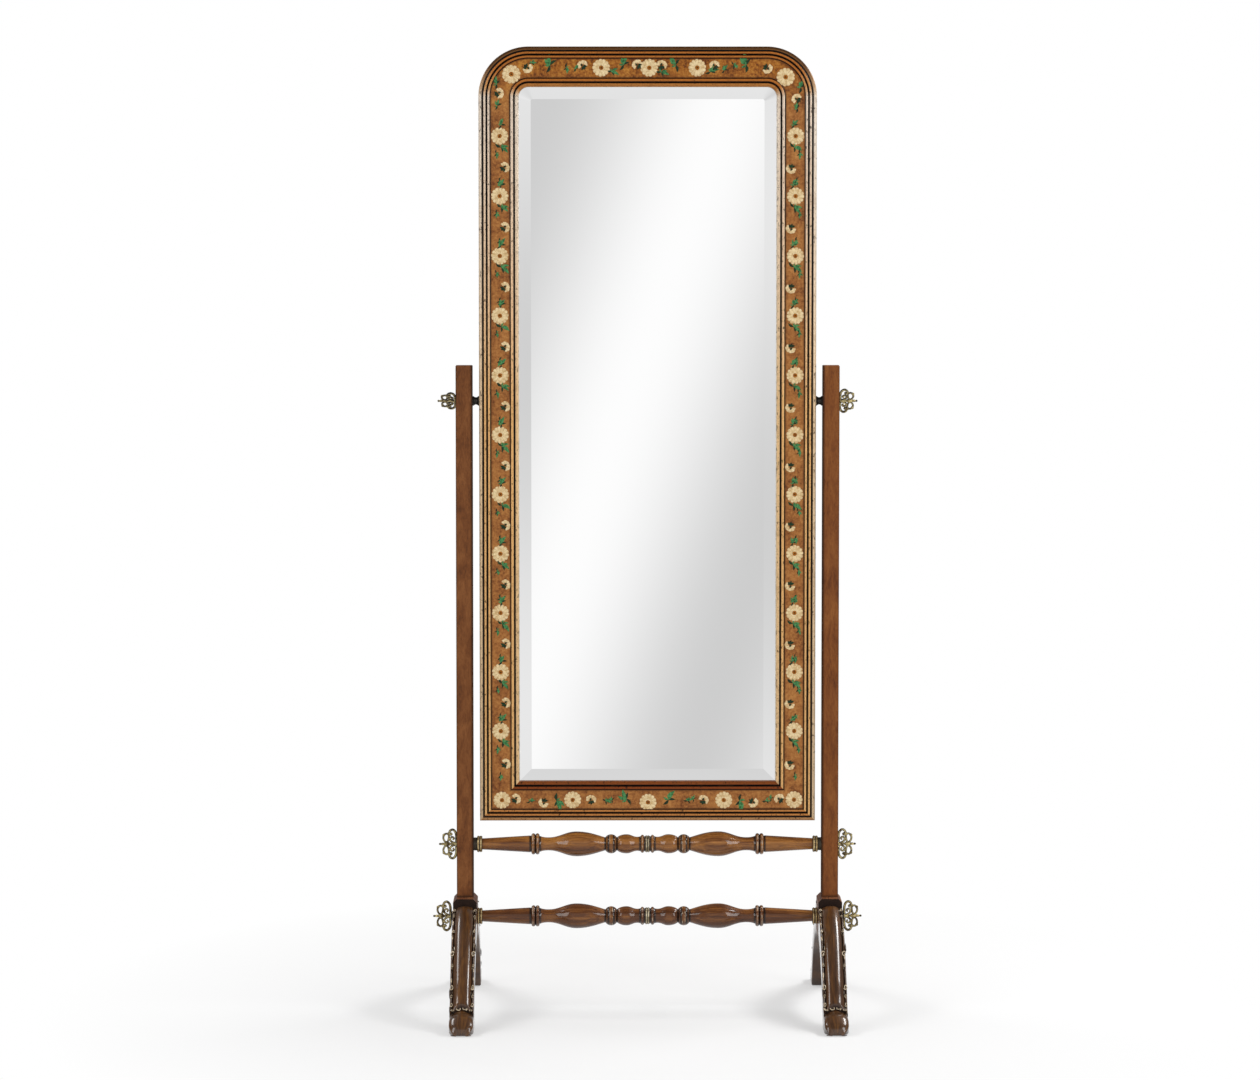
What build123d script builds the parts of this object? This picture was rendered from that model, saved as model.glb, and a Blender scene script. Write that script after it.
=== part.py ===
from build123d import *
import math
import os

# Cheval mirror: a tall framed glass that tilts on two thumbscrews between square posts.
# Millimetres. +X is to the right, +Y to the back, +Z up.
# The origin is on the floor, midway between the posts and midway between the toes.

# Heights above the floor
pivot_z = 1206.0
post_above_pivot = 70.0
frame_below_pivot = 831.0
upper_stretcher_z = 327.0
lower_stretcher_z = 183.0

# Fits
running_clearance = 0.05
moving_gap = 0.3
panel_clearance = 1.0

# Mirror frame
frame_width = 663.0
frame_height = 1525.0
frame_depth = 28.0
corner_radius = 98.0
lip_width = 8.0
outer_bead_width = 7.8
inner_bead_width = 8.7
painted_width = 37.4
bead_rise = 2.6
lip_set_back = 4.0
lip_crest_rise = 1.0
lip_crest_from_edge = 2.8
sight_crest_set_back = 1.0
sight_crest_from_edge = 3.3
paint_set_back = 2.0

# Rebates behind the moulding, for the glass and for the board
glass_lap = 8.0
board_lap = 18.0
lip_depth = 8.0
glass_thickness = 5.0
felt_thickness = 1.0
board_thickness = 5.0
bevel_width = 24.0
bevel_depth = 1.6
bevel_corner_radius = 4.0

# Frame joints
joint_dowel_radius = 4.0
joint_dowel_length = 40.0
joint_dowel_spacing = 22.0
mitre_key_length = 54.0
mitre_key_width = 22.0
mitre_key_thickness = 4.0
mitre_key_set_back = 8.0

# Screws that hold the board
board_screws_per_side = 5
board_screw_end_gap = 60.0
board_end_screw_spacing = 280.0
board_screw_radius = 1.7
board_screw_length = 12.0
board_screw_head_radius = 3.4
board_screw_head_height = 2.0

# Posts
post_size = 33.0
post_inner_chamfer = 3.5
post_outer_chamfer = 1.2
post_top_chamfer = 1.0
post_tenon_size = 21.0
post_tenon_length = 68.0

# Pivots: the gap between frame and post is the spool's
pivot_gap = 13.0
screw_radius = 4.0
screw_reach = 19.5
socket_past_screw = 1.0
bush_radius = 7.0
spool_flange_radius = 9.5
spool_waist_radius = 7.2
spool_flange_width = 1.8
pivot_plate_height = 60.0
pivot_plate_width = 15.0
pivot_plate_thickness = 3.0
pivot_boss_radius = 7.5
pivot_boss_length = 20.0
plate_screw_spacing = 42.0
plate_screw_radius = 1.6
plate_screw_head_radius = 3.0
plate_screw_length = 18.0
left_head_angle = 56.0
right_head_angle = 38.0

# Openwork finials and thumbscrew heads, measured out from the face that they stand on
boss_radius = 5.0
boss_length = 12.0
screw_in_boss = 10.0
ornament_thickness = 4.6
rod_width = 3.4
large_loop_half_width = 8.2
large_loop_half_height = 14.7
large_loop_from_face = 9.2
small_loop_half_width = 5.8
small_loop_half_height = 8.0
small_loop_from_face = 21.0
stem_root_radius = 3.4
stem_waist_radius = 1.7
stem_barb_radius = 3.6
stem_barb_from_face = 20.0
tip_from_face = 34.6
tip_neck_radius = 1.0
tip_ball_radius = 1.9
scroll_ball_radius = 2.6
casting_overlap = 0.8
knop_radius = 2.3
knop_past_loop = 4.1
knop_above_loop = 4.8

# Foot blocks
block_width = 47.0
block_depth = 90.0
block_height = 76.0
block_top_z = 223.0
glide_radius = 11.0
glide_thickness = 3.0
glide_stand = 1.0
toe_contact_from_nose = 45.0

# Legs
foot_reach = 330.0
leg_step = 18.0
leg_root_depth = 56.0
knee_from_block = 97.0
knee_z = 163.0
shin_from_block = 180.0
shin_z = 92.0
instep_from_nose = 59.5
instep_z = 40.0
toe_length = 85.0
toe_crest_from_nose = 17.0
toe_crest_z = 31.0
nose_z = 10.0
nose_bevel = 5.0
under_knee_from_block = 68.0
under_knee_z = 127.0
under_shin_from_block = 140.0
under_shin_z = 82.0
toe_plan_radius = 21.0
panel_width = 36.0
panel_rise = 8.0
panel_sunk = 5.0
panel_round = 6.5
leg_dowel_radius = 5.0
leg_dowel_length = 50.0
leg_dowel_across = 24.0
leg_dowel_up = 20.0

# Stretchers
collar_ring_radius = 16.3
collar_ring_width = 5.0
collar_neck_radius = 12.9
collar_groove = 1.6
stub_radius = 8.0
stub_length = 12.0
taper_small_radius = 11.0
taper_large_radius = 16.6
double_ring_radius = 21.0
double_ring_base_radius = 16.2
long_bulb_radius = 24.6
ring_radius = 19.0
small_bulb_radius = 19.0
neck_radius = 12.9
reel_radius = 18.0
reel_base_radius = 15.6
reel_neck_radius = 14.0
middle_cove_depth = 0.6
ferrule_radius = 16.8
ferrule_groove = 1.2
ferrule_half_width = 4.0
ferrule_bore_radius = 13.0
middle_dowel_radius = 6.0
middle_dowel_length = 60.0
stud_radius = 3.0
stud_in_stretcher = 45.0

# Lengths of a stretcher's turned members, outward from the middle
middle_cove_length = 3.0
reel_length = 6.0
reel_neck_length = 7.0
small_bulb_rise = 21.0
small_bulb_fall = 19.5
ring_length = 23.0
long_bulb_rise = 57.0
long_bulb_fall = 55.5
cove_rise = 18.0
double_ring_bead = 8.0
taper_shoulder = 4.0

# Washers under the lower finials
washer_radius = 9.0
washer_thickness = 5.0

# Worked out from the sizes above
frame_bottom_z = pivot_z - frame_below_pivot
frame_top_z = frame_bottom_z + frame_height
frame_half = frame_width / 2
rail_width = lip_width + 2 * outer_bead_width + painted_width + 2 * inner_bead_width
front_y = -frame_depth / 2
back_y = frame_depth / 2
sight_radius = corner_radius - rail_width
corner_x = frame_half - corner_radius
corner_z = frame_top_z - corner_radius
glass_front_y = front_y + lip_depth
glass_back_y = glass_front_y + glass_thickness
board_front_y = glass_back_y + felt_thickness
board_back_y = board_front_y + board_thickness
post_inner_x = frame_half + pivot_gap
post_x = post_inner_x + post_size / 2
post_outer_x = post_inner_x + post_size
post_top_z = pivot_z + post_above_pivot
block_inner_x = post_x - block_width / 2
block_outer_x = post_x + block_width / 2
block_bottom_z = block_top_z - block_height
block_front = block_depth / 2
block_chamfer = (block_width - post_size) / 2
leg_root_z = block_top_z - leg_step
leg_run = foot_reach - block_front
upright = (0, 0, 1)


def cylinder_x(radius, x_from, x_to, z=0.0):
    """A cylinder along X between two places."""
    length = abs(x_to - x_from)
    middle = (x_from + x_to) / 2
    return Pos(middle, 0, z) * Rot(0, 90, 0) * Cylinder(radius, length)


def cylinder_y(radius, y_from, y_to, x, z):
    """A cylinder along Y between two places."""
    length = abs(y_to - y_from)
    middle = (y_from + y_to) / 2
    return Pos(x, middle, z) * Rot(90, 0, 0) * Cylinder(radius, length)


def block_between(x_range, y_range, z_range):
    """A box between the given limits."""
    size = [high - low for low, high in (x_range, y_range, z_range)]
    middle = [(high + low) / 2 for low, high in (x_range, y_range, z_range)]
    return Pos(*middle) * Box(*size)


def turned(edges, first, last):
    """A solid turned about X from a chain of edges in the XZ plane, closed down to the axis."""
    outline = edges + [
        Line(last, (last[0], 0)),
        Line((last[0], 0), (first[0], 0)),
        Line((first[0], 0), first),
    ]
    flat = [Plane.XZ * edge for edge in outline]
    return revolve(make_face(flat), Axis.X, 360)


def bead(x_from, x_to, base, peak):
    """A round bead between two places on a turned outline."""
    return ThreePointArc((x_from, base), ((x_from + x_to) / 2, peak), (x_to, base))


def to_left(part):
    """The same piece on the left side."""
    return mirror(part, Plane.YZ)


def to_front(part):
    """The same piece on the front side."""
    return mirror(part, Plane.XZ)


# Frame


def rail_section():
    """The moulding's section: x runs from the outer edge to the sight edge, y from front to back."""
    valley = front_y + bead_rise
    lip_y = front_y + lip_set_back
    flat_y = front_y + paint_set_back
    bead_1 = lip_width
    bead_2 = bead_1 + outer_bead_width
    flat_from = bead_2 + outer_bead_width
    flat_to = flat_from + painted_width
    bead_4 = flat_to + inner_bead_width
    board_edge = rail_width - board_lap
    glass_edge = rail_width - glass_lap
    edges = [
        Line((0, back_y), (0, lip_y + lip_crest_rise)),
        ThreePointArc((0, lip_y + lip_crest_rise), (lip_crest_from_edge, lip_y - lip_crest_rise),
                      (bead_1, valley)),
        bead(bead_1, bead_2, valley, front_y),
        bead(bead_2, flat_from, valley, front_y),
        Line((flat_from, valley), (flat_from, flat_y)),
        Line((flat_from, flat_y), (flat_to, flat_y)),
        Line((flat_to, flat_y), (flat_to, valley)),
        bead(flat_to, bead_4, valley, front_y),
        ThreePointArc((bead_4, valley), (rail_width - sight_crest_from_edge, front_y + sight_crest_set_back),
                      (rail_width, lip_y)),
        Line((rail_width, lip_y), (rail_width, glass_front_y)),
        Line((rail_width, glass_front_y), (glass_edge, glass_front_y)),
        Line((glass_edge, glass_front_y), (glass_edge, board_front_y)),
        Line((glass_edge, board_front_y), (board_edge, board_front_y)),
        Line((board_edge, board_front_y), (board_edge, back_y)),
        Line((board_edge, back_y), (0, back_y)),
    ]
    return make_face(edges)


def placed_section(origin, inward, along):
    """The rail's section with its outer edge at origin."""
    return Plane(origin=origin, x_dir=inward, z_dir=along) * rail_section()


def joint_dowel_offsets():
    """Distances of a joint's two dowels from the frame's outer edge."""
    middle = (rail_width - board_lap + lip_width) / 2
    return [middle - joint_dowel_spacing / 2, middle + joint_dowel_spacing / 2]


def frame_dowels():
    """Two dowels across each joint between a curved corner and its straight neighbours, on the right."""
    dowels = []
    half = joint_dowel_length / 2
    for offset in joint_dowel_offsets():
        dowels.append(Pos(frame_half - offset, 0, corner_z) * Cylinder(joint_dowel_radius, 2 * half))
        dowels.append(cylinder_x(joint_dowel_radius, corner_x - half, corner_x + half, frame_top_z - offset))
    return dowels


def mitre_key():
    """The loose tongue in the right-hand bottom mitre."""
    middle = (rail_width - glass_lap) / 2
    key = Box(mitre_key_length, mitre_key_thickness, mitre_key_width)
    middle_y = front_y + mitre_key_set_back + mitre_key_thickness / 2
    return Pos(frame_half - middle, middle_y, frame_bottom_z + middle) * Rot(0, 45, 0) * key


def screw_cutter(at, direction, head_radius, head_height, radius, length):
    """A countersunk screw with the top of its head at a point."""
    plane = Plane(origin=at, z_dir=direction)
    head = Pos(0, 0, head_height / 2) * Cone(head_radius, radius, head_height)
    shank = Pos(0, 0, length / 2) * Cylinder(radius, length)
    return plane * (head + shank)


def board_screw_places():
    """Where the board's screws stand, midway along the ledge between glass and board rebates."""
    ledge = rail_width - (board_lap + glass_lap) / 2
    side_x = frame_half - ledge
    low_z = frame_bottom_z + ledge
    high_z = frame_top_z - ledge
    run_from = low_z + board_screw_end_gap
    run_to = high_z - board_screw_end_gap
    places = []
    for index in range(board_screws_per_side):
        z = run_from + (run_to - run_from) * index / (board_screws_per_side - 1)
        places += [(side_x, z), (-side_x, z)]
    for side in (-1, 1):
        x = side * board_end_screw_spacing / 2
        places += [(x, low_z), (x, high_z)]
    return places


def board_screws():
    """All the screws through the backing board."""
    return [
        screw_cutter((x, board_back_y, z), (0, -1, 0), board_screw_head_radius,
                     board_screw_head_height, board_screw_radius, board_screw_length)
        for x, z in board_screw_places()
    ]


def sight_outline(grow, top_radius, y):
    """The sight opening's outline, grown all round, as a face square to Y."""
    half = frame_half - rail_width + grow
    low = frame_bottom_z + rail_width - grow
    high = frame_top_z - rail_width + grow
    turn = top_radius * (1 - math.sqrt(0.5))
    edges = [
        Line((-half, low), (half, low)),
        Line((half, low), (half, high - top_radius)),
        ThreePointArc((half, high - top_radius), (half - turn, high - turn), (half - top_radius, high)),
        Line((half - top_radius, high), (-half + top_radius, high)),
        ThreePointArc((-half + top_radius, high), (-half + turn, high - turn), (-half, high - top_radius)),
        Line((-half, high - top_radius), (-half, low)),
    ]
    return Pos(0, y, 0) * (Plane.XZ * make_face(edges))


def sheet(grow, y_from, y_to):
    """A flat sheet with the sight opening's shape, grown all round."""
    return extrude(sight_outline(grow, sight_radius + grow, y_to), amount=y_to - y_from)


def mirror_glass():
    """The glass plate, ground to a wide bevel on its front."""
    grow = glass_lap - panel_clearance
    plate_front = glass_front_y + bevel_depth
    plate = sheet(grow, plate_front, glass_back_y)
    bevel = loft(
        [
            sight_outline(grow, sight_radius + grow, plate_front),
            sight_outline(-bevel_width, bevel_corner_radius, glass_front_y),
        ],
        ruled=True,
    )
    return plate + bevel


def pivot_plate():
    """The right-hand pivot plate: a flat brass plate with a threaded boss let into the stile."""
    inner = frame_half - pivot_plate_thickness
    plate = block_between(
        (inner, frame_half),
        (-pivot_plate_width / 2, pivot_plate_width / 2),
        (pivot_z - pivot_plate_height / 2, pivot_z + pivot_plate_height / 2),
    )
    return plate + cylinder_x(pivot_boss_radius, inner - pivot_boss_length, inner, pivot_z)


def plate_screws():
    """The two screws of the right-hand pivot plate."""
    return [
        screw_cutter((frame_half, 0, pivot_z + side * plate_screw_spacing / 2), (-1, 0, 0),
                     plate_screw_head_radius, plate_screw_head_radius - plate_screw_radius,
                     plate_screw_radius, plate_screw_length)
        for side in (-1, 1)
    ]


def frame_parts():
    """The mirror's own nodes."""
    stile = extrude(placed_section((-frame_half, 0, frame_bottom_z), (1, 0, 0), upright),
                    amount=corner_z - frame_bottom_z)
    stile = split(stile, Plane(origin=(-frame_half, 0, frame_bottom_z), z_dir=(-1, 0, 1)), keep=Keep.TOP)
    stile = to_left(stile)
    bottom = extrude(placed_section((frame_half, 0, frame_bottom_z), upright, (-1, 0, 0)), amount=frame_width)
    for side in (-1, 1):
        mitre = Plane(origin=(side * frame_half, 0, frame_bottom_z), z_dir=(-side, 0, -1))
        bottom = split(bottom, mitre, keep=Keep.TOP)
    top = extrude(placed_section((-corner_x, 0, frame_top_z), (0, 0, -1), (1, 0, 0)), amount=2 * corner_x)
    corner = revolve(placed_section((-frame_half, 0, corner_z), (1, 0, 0), upright),
                     Axis((-corner_x, 0, corner_z), (0, 1, 0)), 90)
    corner = to_left(corner)

    dowels = frame_dowels()
    keys = [mitre_key(), to_left(mitre_key())]
    screws = board_screws()
    plate = pivot_plate()
    plate_fixings = plate_screws()
    socket = cylinder_x(screw_radius + running_clearance, frame_half - screw_reach - socket_past_screw,
                        post_inner_x, pivot_z)

    for dowel in dowels:
        stile -= dowel
        corner -= dowel
        top -= dowel
        top -= to_left(dowel)
    stile -= keys[0]
    for key in keys:
        bottom -= key
    board = sheet(board_lap - panel_clearance, board_front_y, board_back_y)
    left_stile = to_left(stile)
    left_corner = to_left(corner)
    rails = [stile, left_stile, corner, left_corner, top, bottom]
    for screw in screws:
        board -= screw
        rails = [rail - screw for rail in rails]
    cut = plate
    for screw in plate_fixings:
        cut += screw
        plate -= screw
    rails[0] -= cut
    rails[1] -= to_left(cut)
    plate -= socket

    spool = pivot_spool() - socket
    nodes = {
        "right_stile": rails[0],
        "left_stile": rails[1],
        "right_corner": rails[2],
        "left_corner": rails[3],
        "top_rail": rails[4],
        "bottom_rail": rails[5],
        "frame_dowels": dowels + [to_left(dowel) for dowel in dowels],
        "mitre_splines": keys,
        "mirror_glass": mirror_glass(),
        "backing_felt": sheet(glass_lap - panel_clearance, glass_back_y, board_front_y),
        "backing_board": board,
        "board_screws": screws,
        "right_pivot_plate": plate,
        "left_pivot_plate": to_left(plate),
        "pivot_plate_screws": plate_fixings + [to_left(screw) for screw in plate_fixings],
        "right_pivot_spool": spool,
        "left_pivot_spool": to_left(spool),
    }
    return nodes


def pivot_spool():
    """The waisted brass spool between frame and right-hand post, before it is bored."""
    x_from = frame_half
    x_to = post_inner_x - moving_gap
    flange_from = x_from + spool_flange_width
    flange_to = x_to - spool_flange_width
    edges = [
        Line((x_from, spool_flange_radius), (flange_from, spool_flange_radius)),
        ThreePointArc((flange_from, spool_flange_radius), ((x_from + x_to) / 2, spool_waist_radius),
                      (flange_to, spool_flange_radius)),
        Line((flange_to, spool_flange_radius), (x_to, spool_flange_radius)),
    ]
    return Pos(0, 0, pivot_z) * turned(edges, (x_from, spool_flange_radius), (x_to, spool_flange_radius))


# Openwork brass


def ring(half_width, half_height, x, z):
    """A flat oval ring, drawn with X across and Z up."""
    outer = Ellipse(half_width, half_height)
    inner = Ellipse(half_width - rod_width, half_height - rod_width)
    return Pos(x, z) * (outer - inner)


def ornament():
    """An openwork finial pointing along +X from a face at x = 0, with a boss behind the face."""
    large_z = stem_waist_radius + large_loop_half_height - casting_overlap
    small_z = stem_barb_radius + small_loop_half_height - casting_overlap
    scroll_z = stem_waist_radius + rod_width + scroll_ball_radius - 2 * casting_overlap
    knop_x = small_loop_from_face + knop_past_loop
    knop_z = small_z + knop_above_loop
    flat = None
    for side in (-1, 1):
        shapes = [
            ring(large_loop_half_width, large_loop_half_height, large_loop_from_face, side * large_z),
            ring(small_loop_half_width, small_loop_half_height, small_loop_from_face, side * small_z),
            Pos(large_loop_from_face, side * scroll_z) * Circle(scroll_ball_radius),
            Pos(knop_x, side * knop_z) * Circle(knop_radius),
        ]
        for shape in shapes:
            flat = shape if flat is None else flat + shape
    ball_from = tip_from_face - math.sqrt(tip_ball_radius ** 2 - tip_neck_radius ** 2)
    ball_end = tip_from_face + tip_ball_radius
    edges = [
        Line((-boss_length, 0), (-boss_length, boss_radius)),
        Line((-boss_length, boss_radius), (0, boss_radius)),
        Line((0, boss_radius), (0, stem_root_radius)),
        Line((0, stem_root_radius), (large_loop_from_face, stem_waist_radius)),
        Line((large_loop_from_face, stem_waist_radius), (stem_barb_from_face, stem_barb_radius)),
        Line((stem_barb_from_face, stem_barb_radius), (ball_from, tip_neck_radius)),
        ThreePointArc((ball_from, tip_neck_radius), (tip_from_face, tip_ball_radius), (ball_end, 0)),
        Line((ball_end, 0), (-boss_length, 0)),
    ]
    stem = revolve(make_face([Plane.XZ * edge for edge in edges]), Axis.X, 360)
    return stem + extrude(Plane.XZ * flat, amount=ornament_thickness / 2, both=True)


def finial(face_x, z, shank_radius, angle=0.0):
    """An ornament on the face at face_x on the right, bored for its screw or stud."""
    bore = cylinder_x(shank_radius, -boss_length, screw_in_boss - boss_length)
    return Pos(face_x, 0, z) * Rot(angle, 0, 0) * (ornament() - bore)


def pivot_screw():
    """The right-hand steel screw, from the pivot plate out to the thumbscrew's head."""
    end_x = post_outer_x + moving_gap - boss_length + screw_in_boss
    return cylinder_x(screw_radius, frame_half - screw_reach, end_x, pivot_z)


def pivot_bush():
    """The brass bush that lines the right-hand post's pivot hole."""
    bush = cylinder_x(bush_radius, post_inner_x, post_outer_x, pivot_z)
    bush -= cylinder_x(screw_radius + running_clearance, post_inner_x, post_outer_x, pivot_z)
    boss_x = post_outer_x + moving_gap - boss_length - moving_gap
    return bush - cylinder_x(boss_radius + running_clearance, boss_x, post_outer_x, pivot_z)


# Stretchers


def stretcher_half(seat_x, neck_length):
    """The right-hand half of a turned stretcher, on the X axis, with a stub that enters its seat."""
    end_x = seat_x - neck_length - 2 * collar_ring_width
    stub_x = seat_x + stub_length
    reel_x = ferrule_half_width + middle_cove_length
    reel_end_x = reel_x + reel_length
    reel_neck_x = reel_end_x + reel_neck_length
    small_bulb_x = reel_neck_x + small_bulb_rise
    ring_x = small_bulb_x + small_bulb_fall
    ring_end_x = ring_x + ring_length
    long_bulb_x = ring_end_x + long_bulb_rise
    cove_x = long_bulb_x + long_bulb_fall
    double_ring_x = cove_x + cove_rise
    second_bead_x = double_ring_x + double_ring_bead
    double_ring_end_x = second_bead_x + double_ring_bead
    taper_x = double_ring_end_x + taper_shoulder
    base = double_ring_base_radius
    level = (1, 0)
    edges = [
        Line((0, ferrule_bore_radius), (ferrule_half_width, ferrule_bore_radius)),
        Line((ferrule_half_width, ferrule_bore_radius), (ferrule_half_width, reel_base_radius)),
        bead(ferrule_half_width, reel_x, reel_base_radius, reel_base_radius - middle_cove_depth),
        bead(reel_x, reel_end_x, reel_base_radius, reel_radius),
        Spline((reel_end_x, reel_base_radius), (reel_neck_x, reel_neck_radius), tangents=[(1, -0.8), level]),
        Spline((reel_neck_x, reel_neck_radius), (small_bulb_x, small_bulb_radius), tangents=[level, level]),
        Spline((small_bulb_x, small_bulb_radius), (ring_x, neck_radius), tangents=[level, (1, -0.9)]),
        bead(ring_x, ring_end_x, neck_radius, ring_radius),
        Spline((ring_end_x, neck_radius), (long_bulb_x, long_bulb_radius), tangents=[(1, 0.3), level]),
        Spline((long_bulb_x, long_bulb_radius), (cove_x, neck_radius), tangents=[level, level]),
        Spline((cove_x, neck_radius), (double_ring_x, base), tangents=[level, (1, 0.5)]),
        bead(double_ring_x, second_bead_x, base, double_ring_radius),
        bead(second_bead_x, double_ring_end_x, base, double_ring_radius),
        Line((double_ring_end_x, base), (taper_x, taper_large_radius)),
        Line((taper_x, taper_large_radius), (end_x, taper_small_radius)),
        Line((end_x, taper_small_radius), (end_x, stub_radius)),
        Line((end_x, stub_radius), (stub_x, stub_radius)),
    ]
    body = turned(edges, (0, ferrule_bore_radius), (stub_x, stub_radius))
    body -= cylinder_x(stud_radius, stub_x - stud_in_stretcher, stub_x)
    return body - cylinder_x(middle_dowel_radius, 0, middle_dowel_length / 2)


def collar(seat_x, neck_length):
    """The brass collar with a double ring on the right-hand end of a stretcher."""
    end_x = seat_x - neck_length - 2 * collar_ring_width
    middle_x = end_x + collar_ring_width
    rings_to = end_x + 2 * collar_ring_width
    base = collar_ring_radius - collar_groove
    edges = [
        bead(end_x, middle_x, base, collar_ring_radius),
        bead(middle_x, rings_to, base, collar_ring_radius),
    ]
    last = (rings_to, base)
    if neck_length > 0:
        edges += [
            Line((rings_to, base), (rings_to, collar_neck_radius)),
            Line((rings_to, collar_neck_radius), (seat_x, collar_neck_radius)),
        ]
        last = (seat_x, collar_neck_radius)
    return turned(edges, (end_x, base), last) - cylinder_x(stub_radius, end_x, seat_x)


def ferrule():
    """The brass ferrule with a double ring, on the X axis over the meeting of two halves."""
    base = ferrule_radius - ferrule_groove
    width = ferrule_half_width
    edges = [bead(-width, 0, base, ferrule_radius), bead(0, width, base, ferrule_radius)]
    sleeve = turned(edges, (-width, base), (width, base))
    return sleeve - cylinder_x(ferrule_bore_radius, -width, width)


def stretcher_parts(level, z, seat_x, neck_length, face_x):
    """The nodes of one stretcher, with its studs and finials."""
    up = Pos(0, 0, z)
    half = up * stretcher_half(seat_x, neck_length)
    ring_collar = up * collar(seat_x, neck_length)
    stud_from = seat_x + stub_length - stud_in_stretcher
    stud = cylinder_x(stud_radius, stud_from, face_x - boss_length + screw_in_boss, z)
    nut = finial(face_x, z, stud_radius)
    nodes = {
        f"{level}_stretcher_right": half,
        f"{level}_stretcher_left": to_left(half),
        f"{level}_ferrule": up * ferrule(),
        f"{level}_stretcher_dowel": cylinder_x(middle_dowel_radius, -middle_dowel_length / 2,
                                               middle_dowel_length / 2, z),
        f"right_{level}_collar": ring_collar,
        f"left_{level}_collar": to_left(ring_collar),
        f"{level}_tie_studs": [stud, to_left(stud)],
        f"right_{level}_finial": nut,
        f"left_{level}_finial": to_left(nut),
    }
    return nodes


# Posts and feet


def post():
    """The right-hand post with its tenon, bored for the bush, the upper stretcher and the studs."""
    shaft = block_between((post_inner_x, post_outer_x), (-post_size / 2, post_size / 2),
                          (block_top_z, post_top_z))
    shaft = chamfer(shaft.edges().filter_by(Axis.Z).group_by(Axis.X)[0], post_inner_chamfer)
    shaft = chamfer(shaft.edges().filter_by(Axis.Z).group_by(Axis.X)[-1], post_outer_chamfer)
    shaft = chamfer(shaft.faces().sort_by(Axis.Z)[-1].edges(), post_top_chamfer)
    half = post_tenon_size / 2
    tenon = block_between((post_x - half, post_x + half), (-half, half),
                          (block_top_z - post_tenon_length, block_top_z))
    body = shaft + tenon
    body -= cylinder_x(bush_radius, post_inner_x, post_outer_x, pivot_z)
    body -= cylinder_x(stub_radius, post_inner_x, post_inner_x + stub_length, upper_stretcher_z)
    body -= cylinder_x(stud_radius, post_inner_x, post_outer_x, upper_stretcher_z)
    body -= cylinder_x(boss_radius, post_outer_x - boss_length, post_outer_x, upper_stretcher_z)
    return body - cylinder_x(stud_radius, block_inner_x, block_outer_x, lower_stretcher_z)


def leg_dowel_places():
    """Across and up positions of the two dowels that hold each leg, from the middle of the leg's root."""
    return [(-leg_dowel_across / 2, -leg_dowel_up / 2), (leg_dowel_across / 2, leg_dowel_up / 2)]


def leg_dowels():
    """The dowels of the right-hand rear leg."""
    middle_z = leg_root_z - leg_root_depth / 2
    half = leg_dowel_length / 2
    return [
        cylinder_y(leg_dowel_radius, block_front - half, block_front + half, post_x + across, middle_z + up)
        for across, up in leg_dowel_places()
    ]


def foot_block():
    """The right-hand foot block, with its canted top edges, mortise and bores."""
    body = block_between((block_inner_x, block_outer_x), (-block_front, block_front),
                         (block_bottom_z, block_top_z))
    top_edges = body.faces().sort_by(Axis.Z)[-1].edges().filter_by(Axis.Y)
    body = chamfer(top_edges, block_chamfer)
    half = post_tenon_size / 2
    body -= block_between((post_x - half, post_x + half), (-half, half),
                          (block_top_z - post_tenon_length, block_top_z))
    body -= cylinder_x(stub_radius, block_inner_x, block_inner_x + stub_length, lower_stretcher_z)
    body -= cylinder_x(stud_radius, block_inner_x, block_outer_x, lower_stretcher_z)
    boss_from = block_outer_x + washer_thickness - boss_length
    body -= cylinder_x(boss_radius, boss_from, block_outer_x, lower_stretcher_z)
    for dowel in leg_dowels():
        body -= dowel
        body -= to_front(dowel)
    return body


def leg_curve(shift):
    """The leg's upper line from its root to the instep, moved out from the leg by a distance."""
    root = (block_front, leg_root_z)
    knee = (block_front + knee_from_block, knee_z)
    shin = (block_front + shin_from_block, shin_z)
    instep = (foot_reach - instep_from_nose, instep_z)
    line = Spline(root, knee, shin, instep, tangents=[(1, -0.15), (0.72, -0.7)])
    if shift == 0:
        return line
    points = []
    for share in (0, 0.25, 0.5, 0.75, 1):
        at = line.position_at(share)
        along = line.tangent_at(share)
        points.append((at.X - along.Y * shift, at.Y + along.X * shift))
    return Spline(*points)


def leg_side():
    """The leg's side outline, root to toe, in the YZ plane."""
    root = (block_front, leg_root_z)
    instep = (foot_reach - instep_from_nose, instep_z)
    toe_crest = (foot_reach - toe_crest_from_nose, toe_crest_z)
    nose = (foot_reach, nose_z)
    sole_front = (foot_reach - nose_bevel, glide_stand)
    heel = (foot_reach - toe_length, glide_stand)
    under_shin = (block_front + under_shin_from_block, under_shin_z)
    under_knee = (block_front + under_knee_from_block, under_knee_z)
    under_root = (block_front, leg_root_z - leg_root_depth)
    edges = [
        leg_curve(0),
        ThreePointArc(instep, toe_crest, nose),
        Line(nose, sole_front),
        Line(sole_front, heel),
        Spline(heel, under_shin, under_knee, under_root, tangents=[(-0.66, 0.75), (-1, 0.1)]),
        Line(under_root, root),
    ]
    return Plane.YZ * make_face(edges)


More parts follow.
